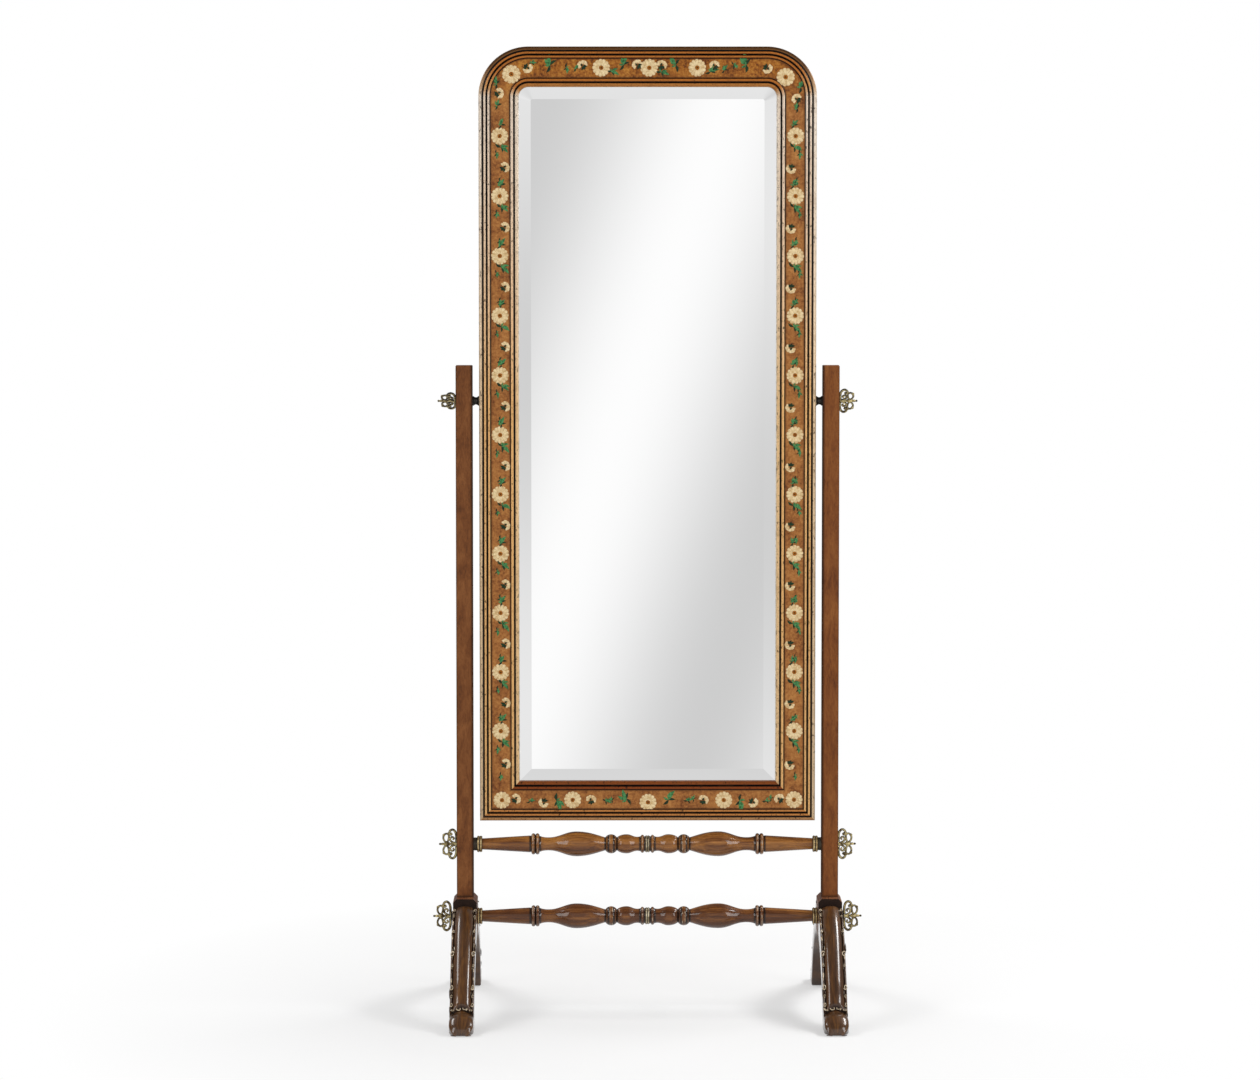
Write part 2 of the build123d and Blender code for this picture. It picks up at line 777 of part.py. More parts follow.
def leg():
    """The right-hand rear leg: a curved slab with a raised half-round panel down its upper face."""
    slab = extrude(leg_side(), amount=block_width / 2, both=True)
    raised = leg_curve(panel_rise)
    sunk = leg_curve(-panel_sunk)
    strip = [raised, Line(raised @ 1, sunk @ 1), sunk, Line(sunk @ 0, raised @ 0)]
    panel = extrude(Plane.YZ * make_face(strip), amount=panel_width / 2, both=True)
    long_edges = panel.edges().filter_by(lambda edge: edge.length > leg_run / 2).sort_by(Axis.Z)[-2:]
    panel = fillet(long_edges, panel_round)
    past_block = block_between((-block_width, block_width), (block_front, foot_reach),
                               (0, block_top_z + panel_rise))
    body = slab + (panel & past_block)
    plan = Pos(0, foot_reach / 2, block_top_z) * Box(block_width, foot_reach, 2 * block_top_z)
    nose_edges = plan.edges().filter_by(Axis.Z).group_by(Axis.Y)[-1]
    plan = fillet(nose_edges, toe_plan_radius)
    body = Pos(post_x, 0, 0) * (body & plan)
    for dowel in leg_dowels():
        body -= dowel
    return body - toe_glide()


def toe_glide():
    """The glide let into the right-hand rear toe."""
    y = foot_reach - toe_contact_from_nose
    return Pos(post_x, y, glide_thickness / 2) * Cylinder(glide_radius, glide_thickness)


def four_of(solids):
    """Solids of the right-hand rear foot, repeated at the other three feet."""
    right = solids + [to_front(solid) for solid in solids]
    return right + [to_left(solid) for solid in right]


def stand_parts():
    """The nodes that stand still."""
    right_post = post()
    right_block = foot_block()
    rear_leg = leg()
    front_leg = to_front(rear_leg)
    bush = pivot_bush()
    lower_face = block_outer_x + washer_thickness
    washer = cylinder_x(washer_radius, block_outer_x, lower_face, lower_stretcher_z)
    washer -= cylinder_x(boss_radius, block_outer_x, lower_face, lower_stretcher_z)
    nodes = {
        "right_post": right_post,
        "left_post": to_left(right_post),
        "right_foot_block": right_block,
        "left_foot_block": to_left(right_block),
        "right_rear_leg": rear_leg,
        "left_rear_leg": to_left(rear_leg),
        "right_front_leg": front_leg,
        "left_front_leg": to_left(front_leg),
        "leg_dowels": four_of(leg_dowels()),
        "foot_glides": four_of([toe_glide()]),
        "right_pivot_bush": bush,
        "left_pivot_bush": to_left(bush),
        "finial_washers": [washer, to_left(washer)],
    }
    upper_neck = post_inner_x - block_inner_x
    nodes.update(stretcher_parts("upper", upper_stretcher_z, post_inner_x, upper_neck, post_outer_x))
    nodes.update(stretcher_parts("lower", lower_stretcher_z, block_inner_x, 0, lower_face))
    return nodes


def thumbscrew_parts():
    """The two thumbscrews, each turned as it was left."""
    head_face = post_outer_x + moving_gap
    screw = pivot_screw()
    nodes = {
        "right_thumbscrew_head": finial(head_face, pivot_z, screw_radius, right_head_angle),
        "left_thumbscrew_head": to_left(finial(head_face, pivot_z, screw_radius, left_head_angle)),
        "right_pivot_screw": screw,
        "left_pivot_screw": to_left(screw),
    }
    return nodes


parts = {}
parts.update(frame_parts())
parts.update(stand_parts())
parts.update(thumbscrew_parts())

os.makedirs("parts", exist_ok=True)
for name, shape in parts.items():
    if isinstance(shape, list):
        shape = Compound(children=[Compound(solid.solids()) for solid in shape])
    export_step(shape, f"parts/{name}.step")
print(len(parts), "nodes written")
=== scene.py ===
import math
import random
from functools import reduce

import bmesh
import bpy
from mathutils import Euler, Matrix, Vector


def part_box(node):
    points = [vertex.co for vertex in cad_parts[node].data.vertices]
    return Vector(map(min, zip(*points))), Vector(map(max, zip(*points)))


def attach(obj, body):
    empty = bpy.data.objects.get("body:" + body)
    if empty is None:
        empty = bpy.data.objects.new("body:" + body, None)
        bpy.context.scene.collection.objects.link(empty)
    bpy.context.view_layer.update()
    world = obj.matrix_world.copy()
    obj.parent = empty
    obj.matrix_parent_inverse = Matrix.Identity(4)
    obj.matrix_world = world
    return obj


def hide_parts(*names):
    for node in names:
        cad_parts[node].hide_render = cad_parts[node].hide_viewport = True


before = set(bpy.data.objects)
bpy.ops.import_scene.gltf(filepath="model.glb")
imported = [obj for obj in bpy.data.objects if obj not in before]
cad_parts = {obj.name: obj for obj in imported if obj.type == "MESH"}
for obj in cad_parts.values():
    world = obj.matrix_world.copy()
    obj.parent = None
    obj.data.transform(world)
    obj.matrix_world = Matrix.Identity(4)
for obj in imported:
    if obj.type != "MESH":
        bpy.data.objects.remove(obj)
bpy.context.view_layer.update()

MM = 0.001

# Sizes of the real pieces, in metres, as the model gives them
FRAME_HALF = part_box("right_stile")[1][0]
FRAME_BOTTOM, FRAME_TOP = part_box("bottom_rail")[0][2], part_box("top_rail")[1][2]
SHOULDER = 98 * MM
PAINT_FACE_Y = -12 * MM
POST_X, POST_HALF, WASHER_FACE = 361 * MM, 16.5 * MM, 28.5 * MM
UPPER_Z, LOWER_Z, PIVOT_Z = 327 * MM, 183 * MM, 1206 * MM
BLOCK_HALF_DEPTH, BLOCK_TOP_Z = 45 * MM, 223 * MM
MOVING_GAP = 0.3 * MM

# Widths across the frame's rails, from the outer edge inwards, in millimetres
LIP, OUTER_BEAD, BAND, INNER_BEAD = 8.0, 7.8, 37.4, 8.7
BAND_FROM = LIP + 2 * OUTER_BEAD
RAIL = BAND_FROM + BAND + 2 * INNER_BEAD
FLOWERS_FROM_EDGE = (BAND_FROM + BAND / 2 - 0.8) * MM


# Finishes: materials made of nodes


class Value:
    """A number that changes over a surface; Python's operators on it add Math nodes."""

    def __init__(self, finish, socket):
        self.finish, self.socket = finish, socket

    def math(self, operation, *others, clamp=False):
        return self.finish.math(operation, self, *others, clamp=clamp)

    def __add__(self, other): return self.math("ADD", other)
    def __radd__(self, other): return self.finish.math("ADD", other, self)
    def __sub__(self, other): return self.math("SUBTRACT", other)
    def __rsub__(self, other): return self.finish.math("SUBTRACT", other, self)
    def __mul__(self, other): return self.math("MULTIPLY", other)
    def __rmul__(self, other): return self.finish.math("MULTIPLY", other, self)
    def __truediv__(self, other): return self.math("DIVIDE", other)
    def __pow__(self, other): return self.math("POWER", other)
    def __abs__(self): return self.math("ABSOLUTE")

    def least(self, other): return self.math("MINIMUM", other)
    def most(self, other): return self.math("MAXIMUM", other)

    def between(self, low, high):
        """0 below low, 1 above high, and a straight rise between them."""
        return ((self - low) / (high - low)).math("ADD", 0.0, clamp=True)


class Nodes:
    """A node tree, emptied, and the one way of adding nodes to it."""

    def __init__(self, tree):
        self.tree = tree
        tree.nodes.clear()

    def make(self, kind, settings=None, inputs=None):
        """Adds a node, sets its settings and then its sockets, and gives the node back."""
        node = self.tree.nodes.new(kind)
        for name, value in (settings or {}).items():
            if name == "stops":
                ramp = node.color_ramp
                while len(ramp.elements) < len(value):
                    ramp.elements.new(0.5)
                for element, (place, colour) in zip(ramp.elements, value):
                    element.position = place
                    element.color = (*colour, 1.0)
            else:
                setattr(node, name, value)
        for name, value in (inputs or {}).items():
            self.put(node.inputs[name], value)
        return node

    def first(self, kind, settings=None, inputs=None):
        """Adds a node and gives its first output back."""
        return self.make(kind, settings, inputs).outputs[0]

    def put(self, socket, value):
        if isinstance(value, Value):
            value = value.socket
        if isinstance(value, bpy.types.NodeSocket):
            self.tree.links.new(value, socket)
        elif socket.type == "RGBA" and len(value) == 3:
            socket.default_value = (*value, 1.0)
        else:
            socket.default_value = value


class Finish(Nodes):
    """The nodes of a new material, or those of the world if it is given."""

    def __init__(self, name, world=None):
        self.material = world or bpy.data.materials.new(name)
        self.material.use_nodes = True
        super().__init__(self.material.node_tree)
        self.end = self.make("ShaderNodeOutputWorld" if world else "ShaderNodeOutputMaterial")

    def math(self, operation, *terms, clamp=False):
        node = self.make("ShaderNodeMath", {"operation": operation, "use_clamp": clamp})
        for index, term in enumerate(terms):
            self.put(node.inputs[index], term)
        return Value(self, node.outputs[0])

    def place(self, kind="Object"):
        """The place on the object, in metres, as a vector and as its three numbers."""
        vector = self.make("ShaderNodeTexCoord").outputs[kind]
        parts = self.make("ShaderNodeSeparateXYZ", None, {0: vector}).outputs
        return vector, [Value(self, part) for part in parts]

    def rays(self):
        """Masks for what the camera sees and for what gloss and mirrors see."""
        path = self.make("ShaderNodeLightPath").outputs
        return Value(self, path["Is Camera Ray"]), Value(self, path["Is Glossy Ray"])

    def noise(self, vector, scale, detail=3.0, roughness=0.55, distortion=0.0):
        """Noise with one scale, or with three where it is stretched."""
        if isinstance(scale, tuple):
            vector = self.first("ShaderNodeMapping", None, {"Vector": vector, "Scale": scale})
            scale = 1.0
        node = self.make("ShaderNodeTexNoise", None, {
            "Vector": vector, "Scale": scale, "Detail": detail, "Roughness": roughness,
            "Distortion": distortion})
        return Value(self, node.outputs[0])

    def ramp(self, value, stops):
        return self.first("ShaderNodeValToRGB", {"stops": stops}, {0: value})

    def mix(self, amount, first, second, blend="MIX"):
        node = self.make("ShaderNodeMix", {"data_type": "RGBA", "blend_type": blend}, {0: amount})
        self.put(node.inputs[6], first)
        self.put(node.inputs[7], second)
        return node.outputs[2]

    def bump(self, height, strength, distance):
        sockets = {"Height": height, "Strength": strength, "Distance": distance}
        return self.first("ShaderNodeBump", None, sockets)

    def stored(self, name):
        return Value(self, self.make("ShaderNodeAttribute", {"attribute_name": name}).outputs["Fac"])

    def surface(self, **inputs):
        """The Principled surface; underscores in the names stand for blanks."""
        named = {name.replace("_", " "): value for name, value in inputs.items()}
        shader = self.make("ShaderNodeBsdfPrincipled", None, named)
        self.tree.links.new(shader.outputs[0], self.end.inputs[0])
        return self.material


def srgb(red, green, blue):
    """A colour as a screen shows it, 0 to 255, turned into light."""
    return tuple(((c / 255 + 0.055) / 1.055) ** 2.4 if c > 10 else c / 3295 for c in (red, green, blue))


def lines_across(x, places, near, far):
    """A mask of lines round a turned piece: 1 within near of a place and 0 beyond far, all in millimetres."""
    reach = abs(x) * 1000
    return reduce(Value.most, [1 - abs(reach - place).between(near, far) for place in places])


def wood_finish(name, along, dark, middle, light, marks=None, coat=0.0, gloss=0.4, shine=0.22, lights=None,
                stretch=(1.6, 46.0)):
    """Stained and waxed hardwood whose grain runs along one axis.

    Marks gives a mask of darkening and the other mask one of painted highlights; stretch is the grain's scale
    along and across.
    """
    finish = Finish(name)
    vector, (x, y, z) = finish.place()
    long, short = stretch
    scale = [long if axis == along else short for axis in "XYZ"]
    broad = finish.noise(vector, tuple(scale), 4.0, 0.6, 0.6)
    fine = finish.noise(vector, tuple(c * 6 for c in scale), 3.0, 0.6)
    pores = finish.noise(vector, tuple(c * 14 for c in scale), 2.0, 0.5)
    cloud = finish.noise(vector, 9.0, 2.0)
    tone = broad * 0.55 + fine * 0.3 + cloud * 0.25
    colour = finish.ramp(tone, [(0.36, dark), (0.52, middle), (0.7, light)])
    pore_mask = pores.between(0.6, 0.72) * 0.45
    colour = finish.mix(pore_mask, colour, tuple(c * 0.35 for c in dark))
    # Marks darken the wood towards near black; the stretchers' marks include painted shade along their underside
    if marks:
        mask = marks(finish, x, y, z)
        colour = finish.mix(mask, colour, tuple(c * 0.12 for c in dark))
        gloss = gloss + mask * 0.3
    # Painted highlights: pale lines painted where light glints on the turned crests
    if lights:
        colour = finish.mix(lights(finish, x, y, z), colour, srgb(206, 186, 158))
    rough = gloss + fine * 0.12 + pore_mask * 0.25
    height = fine * 0.5 - pore_mask
    return finish.surface(Base_Color=colour, Roughness=rough, Coat_Weight=coat, Coat_Roughness=0.07,
                          Specular_IOR_Level=shine, Normal=finish.bump(height, 0.25, 0.0004))


def turned_marks(centre_z):
    """Near-black lines in the hollows of a turned stretcher, and painted shade along its underside."""
    def marks(finish, x, y, z):
        hollows = lines_across(x, (5.5, 14.5, 60.5, 66.5, 77.5, 83.5, 213.0, 222.0, 232.0), 0.9, 3.4)
        # Painted shade: darker along the stretcher's underside, away from the light above
        under = (centre_z - z).between(0.012, 0.024) * 0.35
        return (hollows * 0.9).most(under)
    return marks


def turned_painted_highlights(finish, x, y, z):
    """Painted highlights: fine pale lines painted on the crests of the stretchers' rings, broken up in patches."""
    crests = lines_across(x, (10.0, 69.5, 74.5, 218.0, 227.0), 0.4, 1.3)
    patchy_noise = finish.noise(finish.place()[0], 130.0, 2.0).between(0.45, 0.6)
    return crests * patchy_noise * 0.7


def block_marks(finish, x, y, z):
    """Near-black on the block's front and back faces, round the legs, and in a line under its canted top edges."""
    ends = abs(y).between(BLOCK_HALF_DEPTH - 1.5 * MM, BLOCK_HALF_DEPTH - 0.2 * MM)
    under_cant = abs(z - (BLOCK_TOP_Z - 13.5 * MM)).between(0.5 * MM, 3 * MM)
    shoulder = (1 - under_cant) * abs(y).between(30 * MM, BLOCK_HALF_DEPTH)
    return (ends * 0.92).most(shoulder * 0.6)


def post_marks(finish, x, y, z):
    """Darker along the post's edges and at its foot."""
    inner = 1 - abs(abs(x) - (POST_X - POST_HALF)).between(1.0 * MM, 5.5 * MM)
    outer = 1 - abs(abs(x) - (POST_X + POST_HALF)).between(0.4 * MM, 2.2 * MM)
    foot = 1 - (z - BLOCK_TOP_Z).between(0.0, 6 * MM)
    return (inner * 0.8).most(outer * 0.55).most(foot * 0.8)


def leg_finish():
    """Dark polished wood with its grain along the leg, painted shade in the carved hollows and on the carving's
    shaded sides, and painted highlights on the carved crests.
    """
    finish = Finish("polished_leg_wood")
    uv = finish.first("ShaderNodeUVMap", {"uv_map": "grain"})
    broad = finish.noise(uv, (5.0, 60.0, 1.0), 4.0, 0.6, 0.8)
    fine = finish.noise(uv, (30.0, 320.0, 1.0), 3.0, 0.6)
    hollow = finish.stored("hollow")
    edge = finish.stored("edge")
    tone = broad * 0.6 + fine * 0.45
    colour = finish.ramp(tone, [(0.32, srgb(38, 20, 6)), (0.52, srgb(74, 44, 16)), (0.74, srgb(120, 78, 32))])
    vector, _ = finish.place()
    patches = finish.noise(vector, 85.0, 2.0, 0.5).between(0.53, 0.6)
    glint_colour = srgb(206, 186, 156)
    # Painted light on the carved crests: darker between the glints, pale painted glints in patches, and a full
    # painted highlight on the curls' tops
    colour = finish.mix(edge * (1 - patches) * 0.3, colour, srgb(38, 20, 10))
    colour = finish.mix(edge * patches * 0.9, colour, glint_colour)
    colour = finish.mix((edge - 1).most(0.0).least(0.8), colour, glint_colour)
    # Painted shade: near black in the carved hollows, at the leg's root and on the carving's shaded sides
    colour = finish.mix(hollow * 0.97, colour, srgb(12, 6, 4))
    return finish.surface(Base_Color=colour, Roughness=0.34 + fine * 0.1 + hollow * 0.4, Coat_Weight=1.0 - hollow,
                          Coat_Roughness=0.13, Specular_IOR_Level=0.2, Normal=finish.bump(fine, 0.15, 0.0004))


def moulding_stops():
    """Stops across the rail: painted shade in the grooves, painted highlights on the crests and the band's brown
    ground, as shares of its width.
    """
    # The crest colours are painted highlights and the groove colour is painted shade
    lip, crest_highlight, pale = srgb(214, 184, 146), srgb(228, 176, 112), srgb(224, 186, 136)
    near_black, brown = srgb(16, 7, 3), srgb(96, 58, 28)
    crests = (
        (-1.5, LIP, lip), (LIP, LIP + OUTER_BEAD, crest_highlight), (LIP + OUTER_BEAD, BAND_FROM, crest_highlight),
        (BAND_FROM + BAND, BAND_FROM + BAND + INNER_BEAD, crest_highlight), (RAIL - INNER_BEAD, RAIL + 1.5, pale),
    )
    stops = []
    for low, high, crest in crests:
        for place, colour in ((low + 1.5, near_black), (low + 2.7, crest), (high - 2.7, crest), (high - 1.5, near_black)):
            if 0 < place < RAIL:
                stops.append((place / RAIL, colour))
        if high == BAND_FROM:
            stops += [((high + 1.0) / RAIL, brown), ((high + BAND - 1.0) / RAIL, brown)]
    # The last stop paints a pale highlight along the sight edge
    return stops + [(1.0, srgb(240, 228, 208))]


def painted_band(finish, z, off_middle, mottle, clouds):
    """The band's mottled brown ground, more golden along the top and darker at its edges."""
    tone = mottle * 0.6 + clouds * 0.4
    plain = finish.ramp(tone, [(0.36, srgb(104, 56, 24)), (0.5, srgb(160, 102, 50)), (0.66, srgb(192, 134, 72))])
    golden = finish.ramp(tone, [(0.4, srgb(90, 44, 10)), (0.5, srgb(156, 92, 28)), (0.62, srgb(194, 134, 54))])
    band = finish.mix(z.between(1.78, 1.86), plain, golden)
    rim = off_middle.between((BAND / 2 - 3.2) * MM, BAND / 2 * MM)
    return finish.mix(rim * 0.7, band, srgb(62, 32, 12))


def frame_finish():
    """Mouldings with painted shade in their grooves and painted highlights on their crests, round a mottled
    painted band.
    """
    finish = Finish("gilt_and_painted_frame")
    vector, (x, y, z) = finish.place()
    shade_tint, near_black = srgb(204, 160, 108), srgb(16, 7, 3)

    # How far a point is inside the frame's outline, which is round at the shoulders and square at the foot
    over = (abs(x) - (FRAME_HALF - SHOULDER)).most(0.0)
    up = (z - (FRAME_TOP - SHOULDER)).most(0.0)
    from_side, from_low = SHOULDER - (over * over + up * up) ** 0.5, z - FRAME_BOTTOM
    from_edge = from_side.least(from_low)
    moulding = finish.ramp(from_edge / (RAIL * MM), moulding_stops())

    # Painted light: a silvery painted reflection on the stiles' sight beads high up, painted shade that browns the
    # top and bottom mouldings and the bottom's inner beads, and near-black painted shade on the top's outer lip
    painted_silver_sheen = z.between(1.2, 1.75) * abs(x).between(FRAME_HALF - RAIL * MM - 0.001, FRAME_HALF - RAIL * MM)
    painted_silver_sheen = painted_silver_sheen * (1 - up.between(0.0, 0.02)) * 0.7
    crown = (up / (over + up + 0.0005)).between(0.0, 0.45)
    bottom = (from_side - from_low).between(-0.4 * MM, 0.4 * MM)
    under_glass = from_edge.between((BAND_FROM + BAND - 0.5) * MM, (BAND_FROM + BAND) * MM)
    moulding = finish.mix(painted_silver_sheen, moulding, srgb(190, 182, 172), "COLOR")
    moulding = finish.mix(crown, moulding, shade_tint, "MULTIPLY")
    moulding = finish.mix(bottom * 0.8, moulding, shade_tint, "MULTIPLY")
    moulding = finish.mix(bottom * under_glass, moulding, srgb(176, 132, 92), "MULTIPLY")
    moulding = finish.mix(crown * (1 - from_edge.between(4 * MM, 7 * MM)) * 0.8, moulding, near_black)

    # Flecks and specks where the gilding has worn or been spattered
    flecks = finish.noise(vector, (300.0, 300.0, 130.0), 2.0, 0.5).between(0.62, 0.67)
    specks = finish.noise(vector, 420.0, 2.0, 0.6).between(0.62, 0.70)
    patchy_noise = finish.noise(vector, 60.0, 4.0, 0.65)
    moulding = finish.mix(flecks * (1 - crown) * 0.75, moulding, near_black)
    moulding = finish.mix(specks * 0.8, moulding, near_black)
    moulding = finish.mix((patchy_noise - 0.5).between(0.0, 0.25) * 0.35, moulding, srgb(96, 58, 28))

    # The band between the mouldings, and the plain brown back of the frame
    mottle = finish.noise(vector, 170.0, 5.0, 0.7)
    clouds = finish.noise(vector, 30.0, 3.0, 0.6)
    off_middle = abs(from_edge - (BAND_FROM + BAND / 2) * MM)
    painted = 1 - off_middle.between((BAND / 2 - 0.5) * MM, BAND / 2 * MM)
    behind = (y + 0.004).between(0.0, 0.004)
    colour = finish.mix(painted, moulding, painted_band(finish, z, off_middle, mottle, clouds))
    colour = finish.mix(behind, colour, srgb(92, 58, 34))
    long_up = finish.noise(vector, (260.0, 260.0, 12.0), 3.0)
    return finish.surface(Base_Color=colour, Roughness=0.42 + mottle * 0.12 - (1 - painted) * 0.08,
                          Metallic=(1 - painted) * (1 - behind) * 0.3, Specular_IOR_Level=0.22,
                          Normal=finish.bump(mottle * 0.5 + specks * -0.5 + long_up * 0.3, 0.3, 0.0003))


def paint_finish(name, colour, shade, scale, outline=None):
    """Hand-laid paint, thicker in places, with a drawn outline where the shape has one."""
    finish = Finish(name)
    vector, _ = finish.place()
    brush = finish.noise(vector, scale, 4.0, 0.65)
    mixed = finish.ramp(brush, [(0.36, shade), (0.6, colour)])
    if outline:
        mixed = finish.mix(finish.stored("rim").between(0.4, 1.0) * 0.6, mixed, outline)
    return finish.surface(Base_Color=mixed, Roughness=0.5 + brush * 0.1, Specular_IOR_Level=0.2,
                          Normal=finish.bump(brush, 0.2, 0.0002))


def brass_finish(name, bright, dull, recess, metal, use_painted_shade=False, marks=None):
    """Cast brass, rubbed bright where hands and cloths reach and dark where they don't, with painted shade from
    the mesh where asked.
    """
    finish = Finish(name)
    vector, (x, y, z) = finish.place()
    cloud = finish.noise(vector, 150.0, 4.0, 0.6)
    fine = finish.noise(vector, 900.0, 2.0, 0.5)
    colour = finish.ramp(cloud, [(0.38, dull), (0.6, bright)])
    dark = (0.62 - cloud).between(0.0, 0.3) * 0.35
    # Painted shade on the cast rods' sides and on the knobs, from the mesh's painted shade layer
    if use_painted_shade:
        dark = dark.most(finish.stored("hollow"))
    if marks:
        dark = dark.most(marks(finish, x, y, z))
    colour = finish.mix(dark, colour, recess)
    rough = 0.3 + fine * 0.12 + dark * 0.25
    return finish.surface(Base_Color=colour, Metallic=metal - dark * 0.5, Roughness=rough,
                          Normal=finish.bump(cloud * 0.6 + fine * 0.4, 0.2, 0.0003))


def ringed(positions, width):
    """Dark lines round a turned brass piece, and a dark face where it meets the post or block."""
    def marks(finish, x, y, z):
        lines = lines_across(x, positions, width * 0.3, width)
        return lines.most((abs(x) * 1000 - 337.5).between(0.0, 1.0)) * 0.95
    return marks


def plain_finish(name, colour, rough, metal, scale, depth=0.15):
    """A single stuff with a fine uneven surface."""
    finish = Finish(name)
    vector, _ = finish.place()
    grain = finish.noise(vector, scale, 4.0, 0.6)
    mixed = finish.ramp(grain, [(0.35, tuple(c * 0.8 for c in colour)), (0.65, colour)])
    return finish.surface(Base_Color=mixed, Metallic=metal, Roughness=rough + grain * 0.12,
                          Normal=finish.bump(grain, depth, 0.0003))


def glass_finish():
    """Silvered plate glass, with the faintest haze of handling."""
    finish = Finish("silvered_glass")
    vector, (_, y, _) = finish.place()
    haze = finish.noise(vector, 3.0, 2.0)
    back = (y + 0.0012).between(0.0, 0.0002)
    colour = finish.mix(haze * 0.15, (0.985, 0.985, 0.985), (0.95, 0.955, 0.96))
    colour = finish.mix(back, colour, (0.2, 0.19, 0.2))
    return finish.surface(Base_Color=colour, Metallic=1.0, Roughness=0.008 + haze * 0.006)


# Meshes built point by point


def smooth_points(points, each, closed=False):
    """Points along a Catmull-Rom curve through the given ones."""
    points = [Vector(p) for p in points]
    count = len(points)
    result = []
    for i in range(count if closed else count - 1):
        if closed:
            a, b, c, d = (points[(i + k) % count] for k in (-1, 0, 1, 2))
        else:
            b, c = points[i], points[i + 1]
            a = points[i - 1] if i > 0 else b * 2 - c
            d = points[i + 2] if i + 2 < count else c * 2 - b
        for k in range(each):
            t = k / each
            result.append(0.5 * ((2 * b) + (c - a) * t + (2 * a - 5 * b + 4 * c - d) * t * t
                                 + (3 * b - a - 3 * c + d) * t ** 3))
    if not closed:
        result.append(points[-1])
    return result


def round_angles(sides):
    return [2 * math.pi * k / sides for k in range(sides)]


def add_quads(mesh, rings, closed=True, turned=False):
    """Faces between each ring of points and the next; rings that aren't closed make a strip."""
    size = len(rings[0])
    for first, second in zip(rings, rings[1:]):
        for k in range(size if closed else size - 1):
            corners = (first[k], first[(k + 1) % size], second[(k + 1) % size], second[k])
            mesh.faces.new(corners[::-1] if turned else corners)


def add_tube(mesh, hollow, points, radii, sides, closed=False):
    """A rod of changing thickness along points, with painted shade on its sides away from the front and back."""
    count = len(points)
    rings = []
    for i, point in enumerate(points):
        before = points[i - 1] if (i > 0 or closed) else point
        after = points[(i + 1) % count] if (i + 1 < count or closed) else point
        along = (after - before).normalized()
        side = along.cross(Vector((0, 1, 0))).normalized()
        face = side.cross(along).normalized()
        radius = radii[0] + (radii[1] - radii[0]) * i / (count - 1)
        ring = []
        for angle in round_angles(sides):
            vert = mesh.verts.new(point + (side * math.cos(angle) + face * math.sin(angle)) * radius)
            # Painted shade: the rod's sides, turned away from the front and back, are marked dark
            vert[hollow] = min(1.0, max(0.0, abs(math.cos(angle)) - 0.22) * 1.9)
            ring.append(vert)
        rings.append(ring)
    add_quads(mesh, rings + rings[:1] if closed else rings)
    if not closed:
        mesh.faces.new(rings[0][::-1])
        mesh.faces.new(rings[-1])


def add_ball(mesh, hollow, centre, radius, shade_amount=0.0, stretch=(1, 1, 1)):
    """A small cast knob, darkened by as much painted shade as given."""
    place = Matrix.Translation(Vector(centre)) @ Matrix.Diagonal((*stretch, 1))
    made = bmesh.ops.create_uvsphere(mesh, u_segments=14, v_segments=9, radius=radius, matrix=place)
    for vert in made["verts"]:
        vert[hollow] = shade_amount


def add_turned(mesh, hollow, profile, sides):
    """A form turned about X, from rows of along, radius and painted shade, in millimetres."""
    rings = []
    for along, radius, shade_amount in profile:
        ring = []
        for angle in round_angles(sides):
            vert = mesh.verts.new(Vector((along, math.cos(angle) * radius, math.sin(angle) * radius)) * MM)
            vert[hollow] = shade_amount
            ring.append(vert)
        rings.append(ring)
    add_quads(mesh, rings, turned=True)
    mesh.faces.new(rings[0])
    mesh.faces.new(rings[-1][::-1])


def new_mesh(*layers):
    """An empty mesh and the layers of numbers that its points carry."""
    mesh = bmesh.new()
    return (mesh, *(mesh.verts.layers.float.new(layer) for layer in layers))


def linked(name, data):
    """A new object in the scene."""
    made = bpy.data.objects.new(name, data)
    bpy.context.scene.collection.objects.link(made)
    return made


def finished(name, mesh, material, smooth=True, turned_out=True):
    """A piece from a bmesh, with its faces pointing outwards."""
    if turned_out:
        bmesh.ops.recalc_face_normals(mesh, faces=mesh.faces)
    data = bpy.data.meshes.new(name)
    mesh.to_mesh(data)
    mesh.free()
    for polygon in data.polygons:
        polygon.use_smooth = smooth
    data.materials.append(material)
    return linked(name, data)


# Openwork castings


# One half of a casting, as (out, up) points in millimetres: rods with the radii of their ends, steps and sides
RODS = (
    (((1.6, 4.5), (1.3, 11), (1.6, 18), (3.8, 25), (8.6, 28.6), (13.4, 26.6), (15.2, 22), (13.8, 18.6),
      (11.2, 18.8), (10.6, 21.0)), 2.7, 2.1, 5, 10),
    (((3.0, 1.6), (8.0, 3.0), (12.6, 6.2), (13.6, 10.6), (10.6, 13.8), (6.8, 12.8), (5.9, 9.6)), 2.4, 1.8, 5, 10),
    (((13.2, 9.0), (15.8, 12.5), (15.4, 17.5), (14.6, 21.0)), 1.7, 1.7, 4, 8),
    (((14.0, 0.8), (17.0, 2.8), (20.0, 4.8), (22.6, 3.0), (26.5, 1.0)), 1.7, 1.1, 4, 8),
)
LOOP = ((16.4, 17.6), (21.4, 20.6), (26.0, 17.2), (27.0, 11.2), (24.4, 5.4), (19.8, 3.2), (17.0, 8.6))
